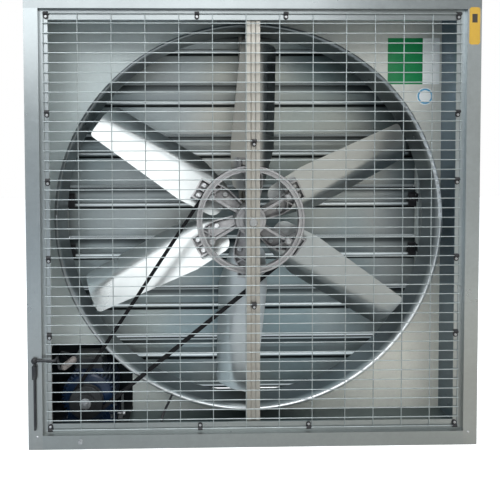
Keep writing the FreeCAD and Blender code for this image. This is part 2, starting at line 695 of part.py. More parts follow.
def nut(radius, z):
    body = hexagon(radius * 3.2, 0, 0, 0, radius * 1.6)
    body.rotate(V(0, 0, 0), V(1, 0, 0), 90)
    body.translate(V(0, 0, z - radius * 1.6))
    return body


def nut_and_bolt(radius, grip):
    """Bolt whose nut sits a grip below the head's washer; the two are one piece in effect."""
    bolt = hex_bolt(radius, grip + radius * 1.6)
    return fused([bolt, nut(radius, -grip)])


def blade_bolts():
    """M8 bolts through pad and blade, and the six bolts that hold the pulley ring."""
    boss_front = PAD_PLATE + PAD_BOSS
    bolt = nut_and_bolt(STUD_R - 0.02, boss_front + BLADE_SHEET)
    bolts = [on_pad(placed(bolt, V(t, -boss_front, r), V(0, -1, 0))) for t, r in BLADE_BOLTS]
    pulley_bolt = hex_bolt(STUD_R - 0.02, 26.0)
    bolts.append(placed(pulley_bolt, V(0, LUG_BACK - LUG_T, AXIS_Z + LUG_R), V(0, -1, 0)))
    whole = []
    for bolt in bolts:
        whole += ring_of(bolt, arm_angles())
    return whole


# ---- belt drive --------------------------------------------------------------------------
def belt():
    """Closed V-belt: an arc round each pulley and the two straight runs between them."""
    slope = math.tan(math.radians(GROOVE_ANGLE))
    mid = PULLEY_FRONT + PULLEY_W / 2
    top_half = GROOVE_TOP + BELT_PROUD * slope - BELT_GAP
    low_half = top_half - BELT_H * slope
    dx, dz = MOTOR_X, MOTOR_Z - AXIS_Z
    distance = math.hypot(dx, dz)
    to_motor = math.degrees(math.atan2(dz, dx))
    spread = math.degrees(math.acos((FAN_PULLEY_R - MOTOR_PULLEY_R) / distance))

    def section(x, z, rim_r, angle):
        """Trapezoid of the belt at one angle round a pulley."""
        a = math.radians(angle)
        top, low = rim_r + BELT_PROUD, rim_r + BELT_PROUD - BELT_H
        corners = [(top, mid - top_half), (top, mid + top_half), (low, mid + low_half),
                   (low, mid - low_half)]
        points = [V(x + r * math.cos(a), y, z + r * math.sin(a)) for r, y in corners]
        return Part.Face(Part.makePolygon(points + points[:1]))

    fan_start, fan_turn = to_motor + spread, 360 - 2 * spread
    motor_start, motor_turn = to_motor - spread, 2 * spread
    # A right-handed turn about -Y carries +X towards +Z.
    fan_arc = section(0, AXIS_Z, FAN_PULLEY_R, fan_start).revolve(
        V(0, 0, AXIS_Z), V(0, -1, 0), fan_turn)
    motor_arc = section(MOTOR_X, MOTOR_Z, MOTOR_PULLEY_R, motor_start).revolve(
        V(MOTOR_X, 0, MOTOR_Z), V(0, -1, 0), motor_turn)
    runs = []
    for angle in (to_motor + spread, to_motor - spread):
        near = section(0, AXIS_Z, FAN_PULLEY_R, angle)
        far = section(MOTOR_X, MOTOR_Z, MOTOR_PULLEY_R, angle)
        runs.append(near.extrude(far.CenterOfMass - near.CenterOfMass))
    return fused([fan_arc, motor_arc] + runs)


def motor_pulley():
    outline = [(SHAFT_R + 0.01, PULLEY_FRONT - 5), (30.0, PULLEY_FRONT - 5), (30.0, PULLEY_FRONT)]
    outline += groove_points(MOTOR_PULLEY_R)
    outline += [(24.0, PULLEY_FRONT + PULLEY_W), (24.0, 121.5), (SHAFT_R + 0.01, 121.5)]
    return revolved(outline, MOTOR_X, MOTOR_Z)


def pulley_screw():
    """Retaining washer and screw in the end of the motor shaft."""
    washer = tube_y(18.0, STUD_R, MOTOR_X, MOTOR_Z, PULLEY_FRONT - 8, PULLEY_FRONT - 5)
    screw = hex_bolt(STUD_R - 0.02, 22.0)
    return [washer, placed(screw, V(MOTOR_X, PULLEY_FRONT - 8, MOTOR_Z), V(0, -1, 0))]


# ---- motor -------------------------------------------------------------------------------
MOTOR_CUTOUT_X = (-684.0, -402.0)
MOTOR_CUTOUT_Z = 240.0
BRACKET_X = (-681.0, -405.0)
BRACKET_Y = (135.0, 326.0)
BRACKET_TOP = 236.0
BRACKET_SHEET = 3.0
FOOT_BOLTS = [(x, y) for x in (MOTOR_X - 70, MOTOR_X + 70) for y in (160.0, 250.0)]
MOTOR_BEARING_YS = (128.0, 268.0)
COWL_END = 320.0
CORE_Y0, CORE_Y1 = 165.0, 242.0
CORE_SEAT_R, ROTOR_R, AIR_GAP = 15.0, 44.5, 0.5
COIL_PITCH_R, COIL_R = 57.0, 7.5
COWL_HOLES = ((22.0, 8), (38.0, 12), (54.0, 18))   # radius and number of the air holes
VANES = 7


def motor_bracket():
    """Base plate, side plate with two slots and back plate, folded from black steel."""
    x0, x1 = BRACKET_X
    y0, y1 = BRACKET_Y
    low = BASE_TOP - BRACKET_SHEET
    base = box(x0, x1, y0, y1, low, BASE_TOP)
    front_lip = box(x0, x1, y0, y0 + BRACKET_SHEET, SHEET + 0.02, BASE_TOP)
    side = box(x0, x0 + BRACKET_SHEET, y0, y1, low, BRACKET_TOP)
    back = box(x0, x1, y1 - BRACKET_SHEET, y1, low, BRACKET_TOP)
    back = back.cut(rod_y(RING_FLANGE_R + 8, 0, AXIS_Z, y1 - 20, y1 + 5))
    legs = [box(x, x + BRACKET_SHEET, y0, y1, SHEET + 0.02, BASE_TOP) for x in (x0, x1 - BRACKET_SHEET)]
    slots = [box(x0 - 1, x0 + 5, y0 + 25, y0 + 85, z, z + 14) for z in (150.0, 205.0)]
    holes = []
    for x, y in FOOT_BOLTS:
        holes.append(rod_z(STUD_R + 0.5, x, y, low - 1, BASE_TOP + 1))
    return without(fused([base, front_lip, side, back] + legs), slots + holes)


def finned_outline():
    """Round frame with cooling fins on the sides and top, flat underneath."""
    points = []
    fin_half = 0.28
    for k in range(FINS):
        mid = 2 * math.pi * (k + 0.5) / FINS - math.pi / 2
        step = 2 * math.pi / FINS
        tall = FIN_R if 3 <= k < FINS - 3 else MOTOR_SKIN_R
        for turn, r in ((-0.5, MOTOR_SKIN_R), (-fin_half, MOTOR_SKIN_R), (-fin_half * 0.7, tall),
                        (fin_half * 0.7, tall), (fin_half, MOTOR_SKIN_R)):
            a = mid + turn * step
            points.append((MOTOR_X + r * math.cos(a), MOTOR_Z + r * math.sin(a)))
    return points


def motor_housing():
    skin = prism_y(finned_outline(), FRAME_Y0, FRAME_Y1)
    feet = []
    for side in (-1, 1):
        outline = [(34, BASE_TOP), (88, BASE_TOP), (88, BASE_TOP + 12), (72, BASE_TOP + 14),
                   (66, 52), (30, 40)]
        points = [(MOTOR_X + side * a, b) for a, b in outline]
        feet.append(prism_y(points, FRAME_Y0 + 4, FRAME_Y1 - 2))
    saddle = box(MOTOR_X - 46, MOTOR_X + 46, 158, 246, MOTOR_Z + 60, MOTOR_Z + FIN_R + 2)
    body = fused([skin, saddle] + feet)
    holes = [rod_z(STUD_R + 0.5, x, y, 0, BASE_TOP + 40) for x, y in FOOT_BOLTS]
    holes += [rod_z(10.0, x, y, BASE_TOP + 12, BASE_TOP + 44) for x, y in FOOT_BOLTS]
    holes.append(rod_y(MOTOR_CORE_R, MOTOR_X, MOTOR_Z, FRAME_Y0 - 1, FRAME_Y1 + 1))
    return without(body, holes)


def end_shield(y_face, y_nose, seat_y):
    """Cast end shield between the frame's end face and its nose, with a bearing seat."""
    inward = 1 if y_nose < y_face else -1
    outline = [(14.0, y_nose), (34.0, y_nose), (40.0, y_nose + 5 * inward),
               (MOTOR_SKIN_R - 6, y_face - 7 * inward), (MOTOR_SKIN_R, y_face - 4 * inward),
               (MOTOR_SKIN_R, y_face), (MOTOR_CORE_R - 0.05, y_face),
               (MOTOR_CORE_R - 0.05, y_face + 4 * inward), (MOTOR_CORE_R - 6, y_face + 4 * inward),
               (36.0, y_face + 1 * inward), (32.0, seat_y), (14.0, seat_y)]
    body = revolved(outline, MOTOR_X, MOTOR_Z)
    seat = rod_y(BEARING_R, MOTOR_X, MOTOR_Z, *sorted((seat_y, seat_y - BEARING_W * inward)))
    return body.cut(seat)


def motor_end_shields():
    front = end_shield(FRAME_Y0, 124.0, MOTOR_BEARING_YS[0] + BEARING_W)
    rear = end_shield(FRAME_Y1, 286.0, MOTOR_BEARING_YS[1])
    return [front, rear]


def motor_bearings():
    return [tube_y(BEARING_R - 0.01, SHAFT_R + 0.5 + RUNNING, MOTOR_X, MOTOR_Z, y, y + BEARING_W)
            for y in MOTOR_BEARING_YS]


def motor_shaft():
    shaft = rod_y(SHAFT_R, MOTOR_X, MOTOR_Z, PULLEY_FRONT - 5, 312.0)
    journal = rod_y(SHAFT_R + 0.5, MOTOR_X, MOTOR_Z, 122.0, 292.0)
    core_seat = rod_y(CORE_SEAT_R, MOTOR_X, MOTOR_Z, CORE_Y0 - 9, CORE_Y1 + 9)
    return fused([shaft, journal, core_seat]).cut(
        rod_y(STUD_R, MOTOR_X, MOTOR_Z, PULLEY_FRONT - 6, 118.0))


def rotor_core():
    """Laminated core with its two end rings."""
    core = tube_y(ROTOR_R, CORE_SEAT_R + 0.01, MOTOR_X, MOTOR_Z, CORE_Y0, CORE_Y1)
    ends = tube_y(42.0, 30.0, MOTOR_X, MOTOR_Z, CORE_Y0 - 8, CORE_Y1 + 8)
    return fused([core, ends])


def stator_core():
    """Laminated core and a winding head at each end of it."""
    core = tube_y(MOTOR_CORE_R - 0.02, ROTOR_R + AIR_GAP, MOTOR_X, MOTOR_Z, CORE_Y0, CORE_Y1)
    coils = [Part.makeTorus(COIL_PITCH_R, COIL_R, V(MOTOR_X, y, MOTOR_Z), AXIS)
             for y in (CORE_Y0 - COIL_R - 1, CORE_Y1 + COIL_R + 1)]
    return [core] + coils


def fan_cowl():
    shell = [(MOTOR_SKIN_R + 0.1, FRAME_Y1 + 5), (MOTOR_SKIN_R + 2, FRAME_Y1 + 5),
             (MOTOR_SKIN_R + 2, COWL_END - 10), (MOTOR_SKIN_R - 8, COWL_END), (6.0, COWL_END),
             (6.0, COWL_END - 1.8), (MOTOR_SKIN_R - 9, COWL_END - 1.8),
             (MOTOR_SKIN_R + 0.1, COWL_END - 11)]
    cowl = revolved(shell, MOTOR_X, MOTOR_Z)
    slots = []
    for ring_r, count in COWL_HOLES:
        for k in range(count):
            a = 2 * math.pi * k / count
            x, z = MOTOR_X + ring_r * math.cos(a), MOTOR_Z + ring_r * math.sin(a)
            slots.append(rod_y(5.0, x, z, COWL_END - 5, COWL_END + 5))
    return without(cowl, slots)


def cooling_fan():
    disc = rod_y(60.0, MOTOR_X, MOTOR_Z, 293.0, 295.5)
    hub = rod_y(22.0, MOTOR_X, MOTOR_Z, 293.0, 310.0)
    vane = box(MOTOR_X - 1.5, MOTOR_X + 1.5, 293.0, 311.0, MOTOR_Z + 18, MOTOR_Z + 62)
    vanes = []
    for k in range(VANES):
        turned = vane.copy()
        turned.rotate(V(MOTOR_X, 0, MOTOR_Z), AXIS, 360 / VANES * k)
        vanes.append(turned)
    return fused([disc, hub] + vanes).cut(rod_y(SHAFT_R + 0.01, MOTOR_X, MOTOR_Z, 290, 315))


TERMINAL_X = (MOTOR_X - 50, MOTOR_X + 46)
TERMINAL_Y = (156.0, 248.0)
TERMINAL_Z = (MOTOR_Z + FIN_R + 2, 226.0)
GLAND_Y = 200.0
GLAND_Z = 202.0


def rounded_box(x0, x1, y0, y1, z0, z1, r):
    body = box(x0, x1, y0, y1, z0, z1)
    upright = [e for e in body.Edges if e.BoundBox.ZLength > (z1 - z0) * 0.9]
    return body.makeFillet(r, upright)


def terminal_box():
    x0, x1 = TERMINAL_X
    y0, y1 = TERMINAL_Y
    z0, z1 = TERMINAL_Z
    tray = rounded_box(x0, x1, y0, y1, z0, z1 - 10, 8)
    tray = tray.cut(rounded_box(x0 + 3, x1 - 3, y0 + 3, y1 - 3, z0 + 3, z1 + 5, 6))
    tray = tray.cut(rod_x(8.0, GLAND_Y, GLAND_Z, x0 - 2, x0 + 5))
    lid = rounded_box(x0 - 2, x1 + 2, y0 - 2, y1 + 2, z1 - 10, z1, 9)
    top = [e for e in lid.Edges if e.BoundBox.ZMin > z1 - 0.1]
    return [tray, lid.makeFillet(3, top)]


# ---- cables ------------------------------------------------------------------------------
CABLE_R = 4.0
TAIL_R = 3.6
EARTH_LEAD_R = 4.0
CABLE_Z = 276.5           # passes between two guard wires
CABLE_Y = -5.0            # in front of the flange
HANG_X = -668.0
SLEEVE_END = 240.0        # the cable ends inside its sleeve and the thinner tail goes on
WRAP_FROM, WRAP_TO = V(-550, 60, 266), V(-602, 34, 232)
WRAP_R = 11.0
GROMMET_R = 9.5


def swept(points, radius, bend):
    """Round cable along straight legs joined by arcs of the given bend radius."""
    edges = []
    here = points[0]
    for a, b, c in zip(points, points[1:], points[2:]):
        back, ahead = (a - b).normalize(), (c - b).normalize()
        half = back.getAngle(ahead) / 2
        reach = bend / math.tan(half)
        start, end = b + back * reach, b + ahead * reach
        middle = (back + ahead).normalize()
        mid = b + middle * (bend / math.sin(half) - bend)
        edges.append(Part.makeLine(here, start))
        edges.append(Part.Arc(start, mid, end).toShape())
        here = end
    edges.append(Part.makeLine(here, points[-1]))
    path = Part.Wire(edges)
    first = (points[1] - points[0]).normalize()
    disc = Part.Wire(Part.makeCircle(radius, points[0], first))
    return path.makePipeShell([disc], True, False)


def supply_cable(radius):
    """From the terminal box, through the guard to the left flange and down into the sleeve."""
    points = [V(TERMINAL_X[0] + 6, GLAND_Y, GLAND_Z), V(-618, GLAND_Y, GLAND_Z),
              V(-618, 120, 258), WRAP_FROM, WRAP_TO, V(-606, 24, CABLE_Z),
              V(-606, CABLE_Y, CABLE_Z), V(HANG_X, CABLE_Y, CABLE_Z), V(HANG_X, CABLE_Y, SLEEVE_END)]
    return swept(points, radius, 7.5)


def cable_tail():
    return rod_z(TAIL_R, HANG_X, CABLE_Y, 64.0, SLEEVE_END - 0.02)


def cable_sleeve():
    sleeve = rod_z(7.0, HANG_X, -7.6, 222.0, 261.0)
    bore = rod_z(CABLE_R + 0.05, HANG_X, CABLE_Y, SLEEVE_END - 0.01, 300.0)
    return sleeve.cut(bore).cut(rod_z(TAIL_R + 0.05, HANG_X, CABLE_Y, 200.0, 300.0))


def cable_wrap():
    """Taped joint in the cable, a capsule along one leg of its path."""
    along = (WRAP_TO - WRAP_FROM).normalize()
    a = WRAP_FROM + along * WRAP_R * 1.6
    b = WRAP_TO - along * WRAP_R * 1.6
    body = Part.makeCylinder(WRAP_R, (b - a).Length, a, along)
    ends = [Part.makeSphere(WRAP_R, p) for p in (a, b)]
    return fused([body] + ends)


def flange_grommet():
    """Domed rubber grommet on the left flange where the cable turns down."""
    dome = Part.makeSphere(GROMMET_R, V(HANG_X, CABLE_Y, CABLE_Z))
    return dome.common(box(HANG_X - 20, HANG_X + 20, -30, 0, CABLE_Z - 20, CABLE_Z + 20))


def earth_lead():
    points = [V(-286, 28, 6), V(-286, 28, 82), V(-258, 118, 112)]
    return swept(points, EARTH_LEAD_R, 20.0)


def cable_fittings():
    """Gland at the terminal box, taped joint and flange grommet, each bored for the cable."""
    x0 = TERMINAL_X[0]
    gland = fused([rod_x(7.98, GLAND_Y, GLAND_Z, x0 - 1, x0 + 4),
                   rod_x(11.5, GLAND_Y, GLAND_Z, x0 - 9, x0),
                   rod_x(9.5, GLAND_Y, GLAND_Z, x0 - 19, x0 - 8)])
    bore = supply_cable(CABLE_R + 0.05)
    return [gland.cut(bore), cable_wrap().cut(bore), flange_grommet().cut(bore)]


# ---- small fixed parts -------------------------------------------------------------------
FILM = 0.4                # thickness of the label films
GREEN_X, WHITE_X, LABEL_Z = (498.0, 621.0), (622.0, 681.0), (1149.0, 1310.0)
SPOT_X, SPOT_Z, SPOT_R = 631.0, 1107.0, 30.0
TAG_X, TAG_Z, TAG_CORNER = (652.0, 685.0), (1230.0, 1342.0), 8.0
TENSIONER_X = -432.0
TENSIONER_Y = (178.0, 212.0)
TENSIONER_T = 4.0
TENSIONER_TOP = 84.0
PUSH_Z = BASE_TOP + 9.0   # height of the belt tensioner screw


def tensioner_bracket():
    """Angle on the base plate with a screw that pushes the motor foot to tighten the belt."""
    x = TENSIONER_X
    upright = box(x, x + TENSIONER_T, *TENSIONER_Y, BASE_TOP + 0.02, TENSIONER_TOP)
    foot = box(x - 12, x, *TENSIONER_Y, BASE_TOP + 0.02, BASE_TOP + TENSIONER_T)
    hole = rod_x(STUD_R, sum(TENSIONER_Y) / 2, PUSH_Z, x - 5, x + 10)
    return fused([upright, foot]).cut(hole)


def frame_bolts():
    """Column screws, motor foot bolts, belt tensioner screw and earth stud."""
    solids = []
    screw = hex_bolt(STUD_R - 0.02, SHEET + FOOT_SHEET)
    trim = Part.makeBox(60, 60, 60, V(-30, -30, -60 - SHEET - FOOT_SHEET))
    screw = screw.cut(trim)
    for x, y in column_screw_places():
        solids.append(placed(screw, V(x, y, SHEET + FOOT_SHEET), V(0, 0, 1)))
        solids.append(placed(screw, V(x, y, BOX_H - SHEET - FOOT_SHEET), V(0, 0, -1)))
    for x, y in FOOT_BOLTS:
        bolt = hex_bolt(STUD_R, 16.0)
        solids.append(placed(bolt, V(x, y, BASE_TOP + 12), V(0, 0, 1)))
    push = hex_bolt(STUD_R - 0.05, 18.9)
    solids.append(placed(push, V(TENSIONER_X + TENSIONER_T, sum(TENSIONER_Y) / 2, PUSH_Z), V(1, 0, 0)))
    stud = nut_and_bolt(STUD_R - 0.05, SHEET)
    solids.append(placed(stud, V(EARTH_X, 0, EARTH_Z), V(0, -1, 0)))
    return solids


def blank_labels():
    """Blank label films: two side by side on the orifice plate, a round one, one in front."""
    y0, y1 = PLATE_Y - FILM, PLATE_Y
    green = box(*GREEN_X, y0, y1, *LABEL_Z)
    white = box(*WHITE_X, y0, y1, *LABEL_Z)
    spot = rod_y(SPOT_R, SPOT_X, SPOT_Z, y0, y1)
    tag = box(*TAG_X, -FILM, 0, *TAG_Z)
    corners = [e for e in tag.Edges if e.Length < 2 * FILM]
    return [green, white, spot, tag.makeFillet(TAG_CORNER, corners)]


# ---- shutter -----------------------------------------------------------------------------
LOUVRE_SKIN = 6.5         # outer face behind the pivot at the bottom edge
LOUVRE_LEAN = 11.0        # the top edge sits this much further in
LOUVRE_LIP = 13.0         # top edge turned inwards
GROOVE_DEEP = 8.0
SWAGE_DEEP = 6.0
BUSH_R = 7.0
BUSH_FACE = 2.0
BRACKET_IN, BRACKET_OUT = 626.0, 653.0    # reach of the end brackets along X
RAIL_Y0, RAIL_Y1 = 367.0, 398.0
RAIL_LIP_X = 654.0


def pivot_z(k):
    return LOWEST_PIVOT + LOUVRE_PITCH * k


def shutter_rails():
    """Z-section uprights; the rear lip closes the gap at the louvre ends."""
    wall = HALF_W - SHEET
    lip_y = RAIL_Y1 - LOUVRE_SHEET
    path = [(RAIL_LIP_X, lip_y), (RAIL_X, lip_y), (RAIL_X, RAIL_Y0), (wall, RAIL_Y0)]
    rail = prism_z(folded(path, LOUVRE_SHEET), SHEET, BOX_H - SHEET - 0.02)
    holes = [rod_x(BUSH_R, PIVOT_Y, pivot_z(k), RAIL_X - 10, RAIL_X + 10) for k in range(LOUVRES)]
    rail = without(rail, holes)
    return [rail, mirrored(rail)]


def pivot_bushes():
    bushes = []
    for k in range(LOUVRES):
        z = pivot_z(k)
        flange = rod_x(11.0, PIVOT_Y, z, RAIL_X - BUSH_FACE, RAIL_X)
        sleeve = rod_x(BUSH_R, PIVOT_Y, z, RAIL_X - 1, RAIL_X + 8)
        bore = rod_x(SPIGOT_R + RUNNING, PIVOT_Y, z, RAIL_X - 9, RAIL_X + 19)
        bush = fused([flange, sleeve]).cut(bore)
        bushes += [bush, mirrored(bush)]
    return bushes


def louvre_path():
    """Section of a closed louvre in (depth, height) about its pivot, from bottom to top."""
    lean = LOUVRE_LEAN / (LOUVRE_TOP - LOUVRE_BOTTOM)
    hem = [(LOUVRE_BOTTOM, 9.5), (LOUVRE_BOTTOM + 8, 8.0), (LOUVRE_BOTTOM + 17, 0.0)]
    groove = [(-34.0, 0.0), (-31.0, GROOVE_DEEP), (-24.0, 0.0)]
    swage = [(-14.0, 0.0), (-9.0, SWAGE_DEEP), (14.0, 0.0)]
    lip = [(LOUVRE_TOP, 0.0), (LOUVRE_TOP - 1, -LOUVRE_LIP)]
    path = []
    for z, outward in hem + groove + swage + lip:
        skin = LOUVRE_SKIN - (z - LOUVRE_BOTTOM) * lean
        path.append((skin + outward, z))
    return path


def louvre(k):
    z0 = pivot_z(k)
    points = [(PIVOT_Y + y, z0 + z) for y, z in folded(louvre_path(), LOUVRE_SHEET)]
    return prism_x(points, -LOUVRE_HALF, LOUVRE_HALF)


def crank_pin():
    a = math.radians(CRANK_ANGLE)
    return -CRANK * math.cos(a), CRANK * math.sin(a)


def louvre_bracket(k):
    """Black end bracket: block on the louvre's inner face, spigot into the bush, crank lug."""
    z0 = pivot_z(k)
    inner, outer = BRACKET_IN, BRACKET_OUT
    pin_y, pin_z = crank_pin()
    block = [(-13, -26), (0.5, -26), (-1.0, 26), (-10, 26), (-13, 22)]
    block = prism_x([(PIVOT_Y + y, z0 + z) for y, z in block], inner, outer)
    spigot = rod_x(SPIGOT_R, PIVOT_Y, z0, outer - 8, RAIL_X + 6)
    lug_x0, lug_x1 = outer - 7.0, outer
    lug = [(-8, -4), (-8, 24), (pin_y - 2, pin_z + 6), (pin_y - 5, pin_z - 3), (-13, -4)]
    lug = prism_x([(PIVOT_Y + y, z0 + z) for y, z in lug], lug_x0, lug_x1)
    eye = rod_x(6.0, PIVOT_Y + pin_y, z0 + pin_z, lug_x0, lug_x1)
    body = fused([block, spigot, lug, eye])
    hole = rod_x(ROD_R + RUNNING, PIVOT_Y + pin_y, z0 + pin_z, lug_x0 - 1, lug_x1 + 1)
    bracket = body.cut(hole).cut(louvre_back(k))
    return [bracket, mirrored(bracket)]


def louvre_back(k):
    """Everything behind a louvre's inner face near the pivot, to fit the bracket to it."""
    z0 = pivot_z(k)
    path = [p for p in louvre_path() if p[1] > -60][:-1]
    inner_face = folded(path, LOUVRE_SHEET + 0.02)[len(path):]
    points = [(PIVOT_Y + y, z0 + z) for y, z in inner_face]
    behind = [(PIVOT_Y + 60, points[-1][1]), (PIVOT_Y + 60, points[0][1])]
    return prism_x(points + behind, 600, 652.01)


def tie_rods():
    """Upright rods outside the brackets, with a short pin into each crank lug."""
    pin_y, pin_z = crank_pin()
    y = PIVOT_Y + pin_y
    rod = rod_z(ROD_R, ROD_X, y, LOWEST_PIVOT + pin_z - 10, pivot_z(LOUVRES - 1) + pin_z + 10)
    pins = [rod_x(ROD_R, y, pivot_z(k) + pin_z, 645.0, ROD_X) for k in range(LOUVRES)]
    body = fused([rod] + pins)
    return [body, mirrored(body)]


# ---- write the nodes ---------------------------------------------------------------------
def main():
    os.makedirs("parts", exist_ok=True)
    save("top_panel", top_panel())
    save("bottom_panel", bottom_panel())
    save("left_panel", left_panel())
    save("right_panel", right_panel())
    save("orifice_plate", orifice_plate())
    save("venturi_ring", venturi_ring())
    save("panel_rivets", *panel_rivets())
    save("guard_mesh", guard_mesh())
    clips, screws = guard_fixings()
    save("guard_clips", *clips)
    save("clip_screws", *screws)
    save("front_column", column(FRONT_COLUMN_Y, True))
    save("rear_column", column(REAR_COLUMN_Y, False))
    save("axle", axle())
    save("axle_nuts", *axle_nuts())
    save("bearing_inner_rings", *bearing_inner_rings())
    save("bearing_outer_sets", *bearing_outer_sets())
    save("frame_bolts", *frame_bolts())
    save("hub_casting", hub_casting())
    save("fan_pulley", fan_pulley())
    one_blade = blade()
    for k, angle in enumerate(arm_angles()):
        save(f"blade_{k + 1}", around_axis(one_blade, angle))
    save("blade_bolts", *blade_bolts())
    save("drive_belt", belt())
    save("motor_pulley", motor_pulley())
    save("pulley_screw", *pulley_screw())
    save("motor_bracket", motor_bracket())
    save("motor_housing", motor_housing())
    save("motor_end_shields", *motor_end_shields())
    save("motor_bearings", *motor_bearings())
    save("motor_shaft", motor_shaft())
    save("rotor_core", rotor_core())
    save("stator_core", *stator_core())
    save("fan_cowl", fan_cowl())
    save("cooling_fan", cooling_fan())
    save("terminal_box", *terminal_box())
    save("power_cables", supply_cable(CABLE_R), cable_tail(), cable_sleeve(), earth_lead())
    save("cable_fittings", *cable_fittings())
    save("tensioner_bracket", tensioner_bracket())
    save("blank_labels", *blank_labels())
    save("shutter_rails", *shutter_rails())
    save("pivot_bushes", *pivot_bushes())
    for k in range(LOUVRES):
        save(f"louvre_{k + 1}", louvre(k))
        save(f"louvre_{k + 1}_brackets", *louvre_bracket(k))
    save("tie_rods", *tie_rods())


main()
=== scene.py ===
import json
import math

import bmesh
import bpy
from mathutils import Matrix, Vector


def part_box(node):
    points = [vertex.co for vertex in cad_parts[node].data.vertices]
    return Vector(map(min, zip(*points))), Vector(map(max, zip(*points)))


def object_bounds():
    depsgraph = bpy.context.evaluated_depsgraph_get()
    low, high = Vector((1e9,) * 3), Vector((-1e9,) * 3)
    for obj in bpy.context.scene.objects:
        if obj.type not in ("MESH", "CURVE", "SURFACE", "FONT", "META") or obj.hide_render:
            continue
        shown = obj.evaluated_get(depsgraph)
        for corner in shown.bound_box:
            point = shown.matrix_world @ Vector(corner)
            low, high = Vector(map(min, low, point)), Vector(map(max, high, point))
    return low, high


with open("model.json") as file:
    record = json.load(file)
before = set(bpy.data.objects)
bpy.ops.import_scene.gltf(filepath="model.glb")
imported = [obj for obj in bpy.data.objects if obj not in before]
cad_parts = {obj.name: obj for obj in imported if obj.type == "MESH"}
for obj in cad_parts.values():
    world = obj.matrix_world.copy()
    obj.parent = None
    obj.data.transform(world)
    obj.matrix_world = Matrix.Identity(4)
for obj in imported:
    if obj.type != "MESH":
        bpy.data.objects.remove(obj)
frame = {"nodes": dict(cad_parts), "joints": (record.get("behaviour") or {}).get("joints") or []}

# Looks of the belt-driven box exhaust fan. Everything is in metres, in the CAD frame:
# X to the right seen from the guard side, Y from the guard to the shutter, Z up.

CAD_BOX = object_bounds()
NODES = frame["nodes"]
AXIS = sum(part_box("venturi_ring"), Vector()) / 2     # centre of the propeller opening
BORE_RADIUS = 0.6256                                 # just outside the venturi's inner face
PANEL_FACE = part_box("right_panel")[1].x              # outer face of the side panels
GUARD_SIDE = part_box("left_panel")[0].y               # front plane of the casing
PIVOT_HEIGHTS = sorted(joint["pos_m"][2] for joint in frame["joints"]
                       if joint["name"].startswith("louvre_"))
LOWEST_PIVOT = PIVOT_HEIGHTS[0]
LOUVRE_PITCH = PIVOT_HEIGHTS[1] - LOWEST_PIVOT

# ---- colours (linear RGB) ----------------------------------------------------------------
ZINC = (0.55, 0.60, 0.615)
STAINLESS = (0.60, 0.625, 0.62)
WIRE = (0.40, 0.445, 0.45)
CASTING = (0.47, 0.465, 0.47)
STEEL = (0.55, 0.56, 0.57)
RUBBER = (0.005, 0.005, 0.006)
PLASTIC = (0.010, 0.010, 0.012)
SCUFFED_PLASTIC = (0.045, 0.045, 0.047)
MOTOR_BLUE = (0.003, 0.011, 0.031)
BLACK_PAINT = (0.004, 0.006, 0.008)
BLACK_IRON = (0.008, 0.009, 0.010)
COPPER = (0.50, 0.21, 0.09)
GREEN = (0.008, 0.20, 0.065)
LABEL_WHITE = (0.80, 0.84, 0.84)
LABEL_BLUE = (0.10, 0.34, 0.55)
YELLOW = (0.40, 0.245, 0.03)


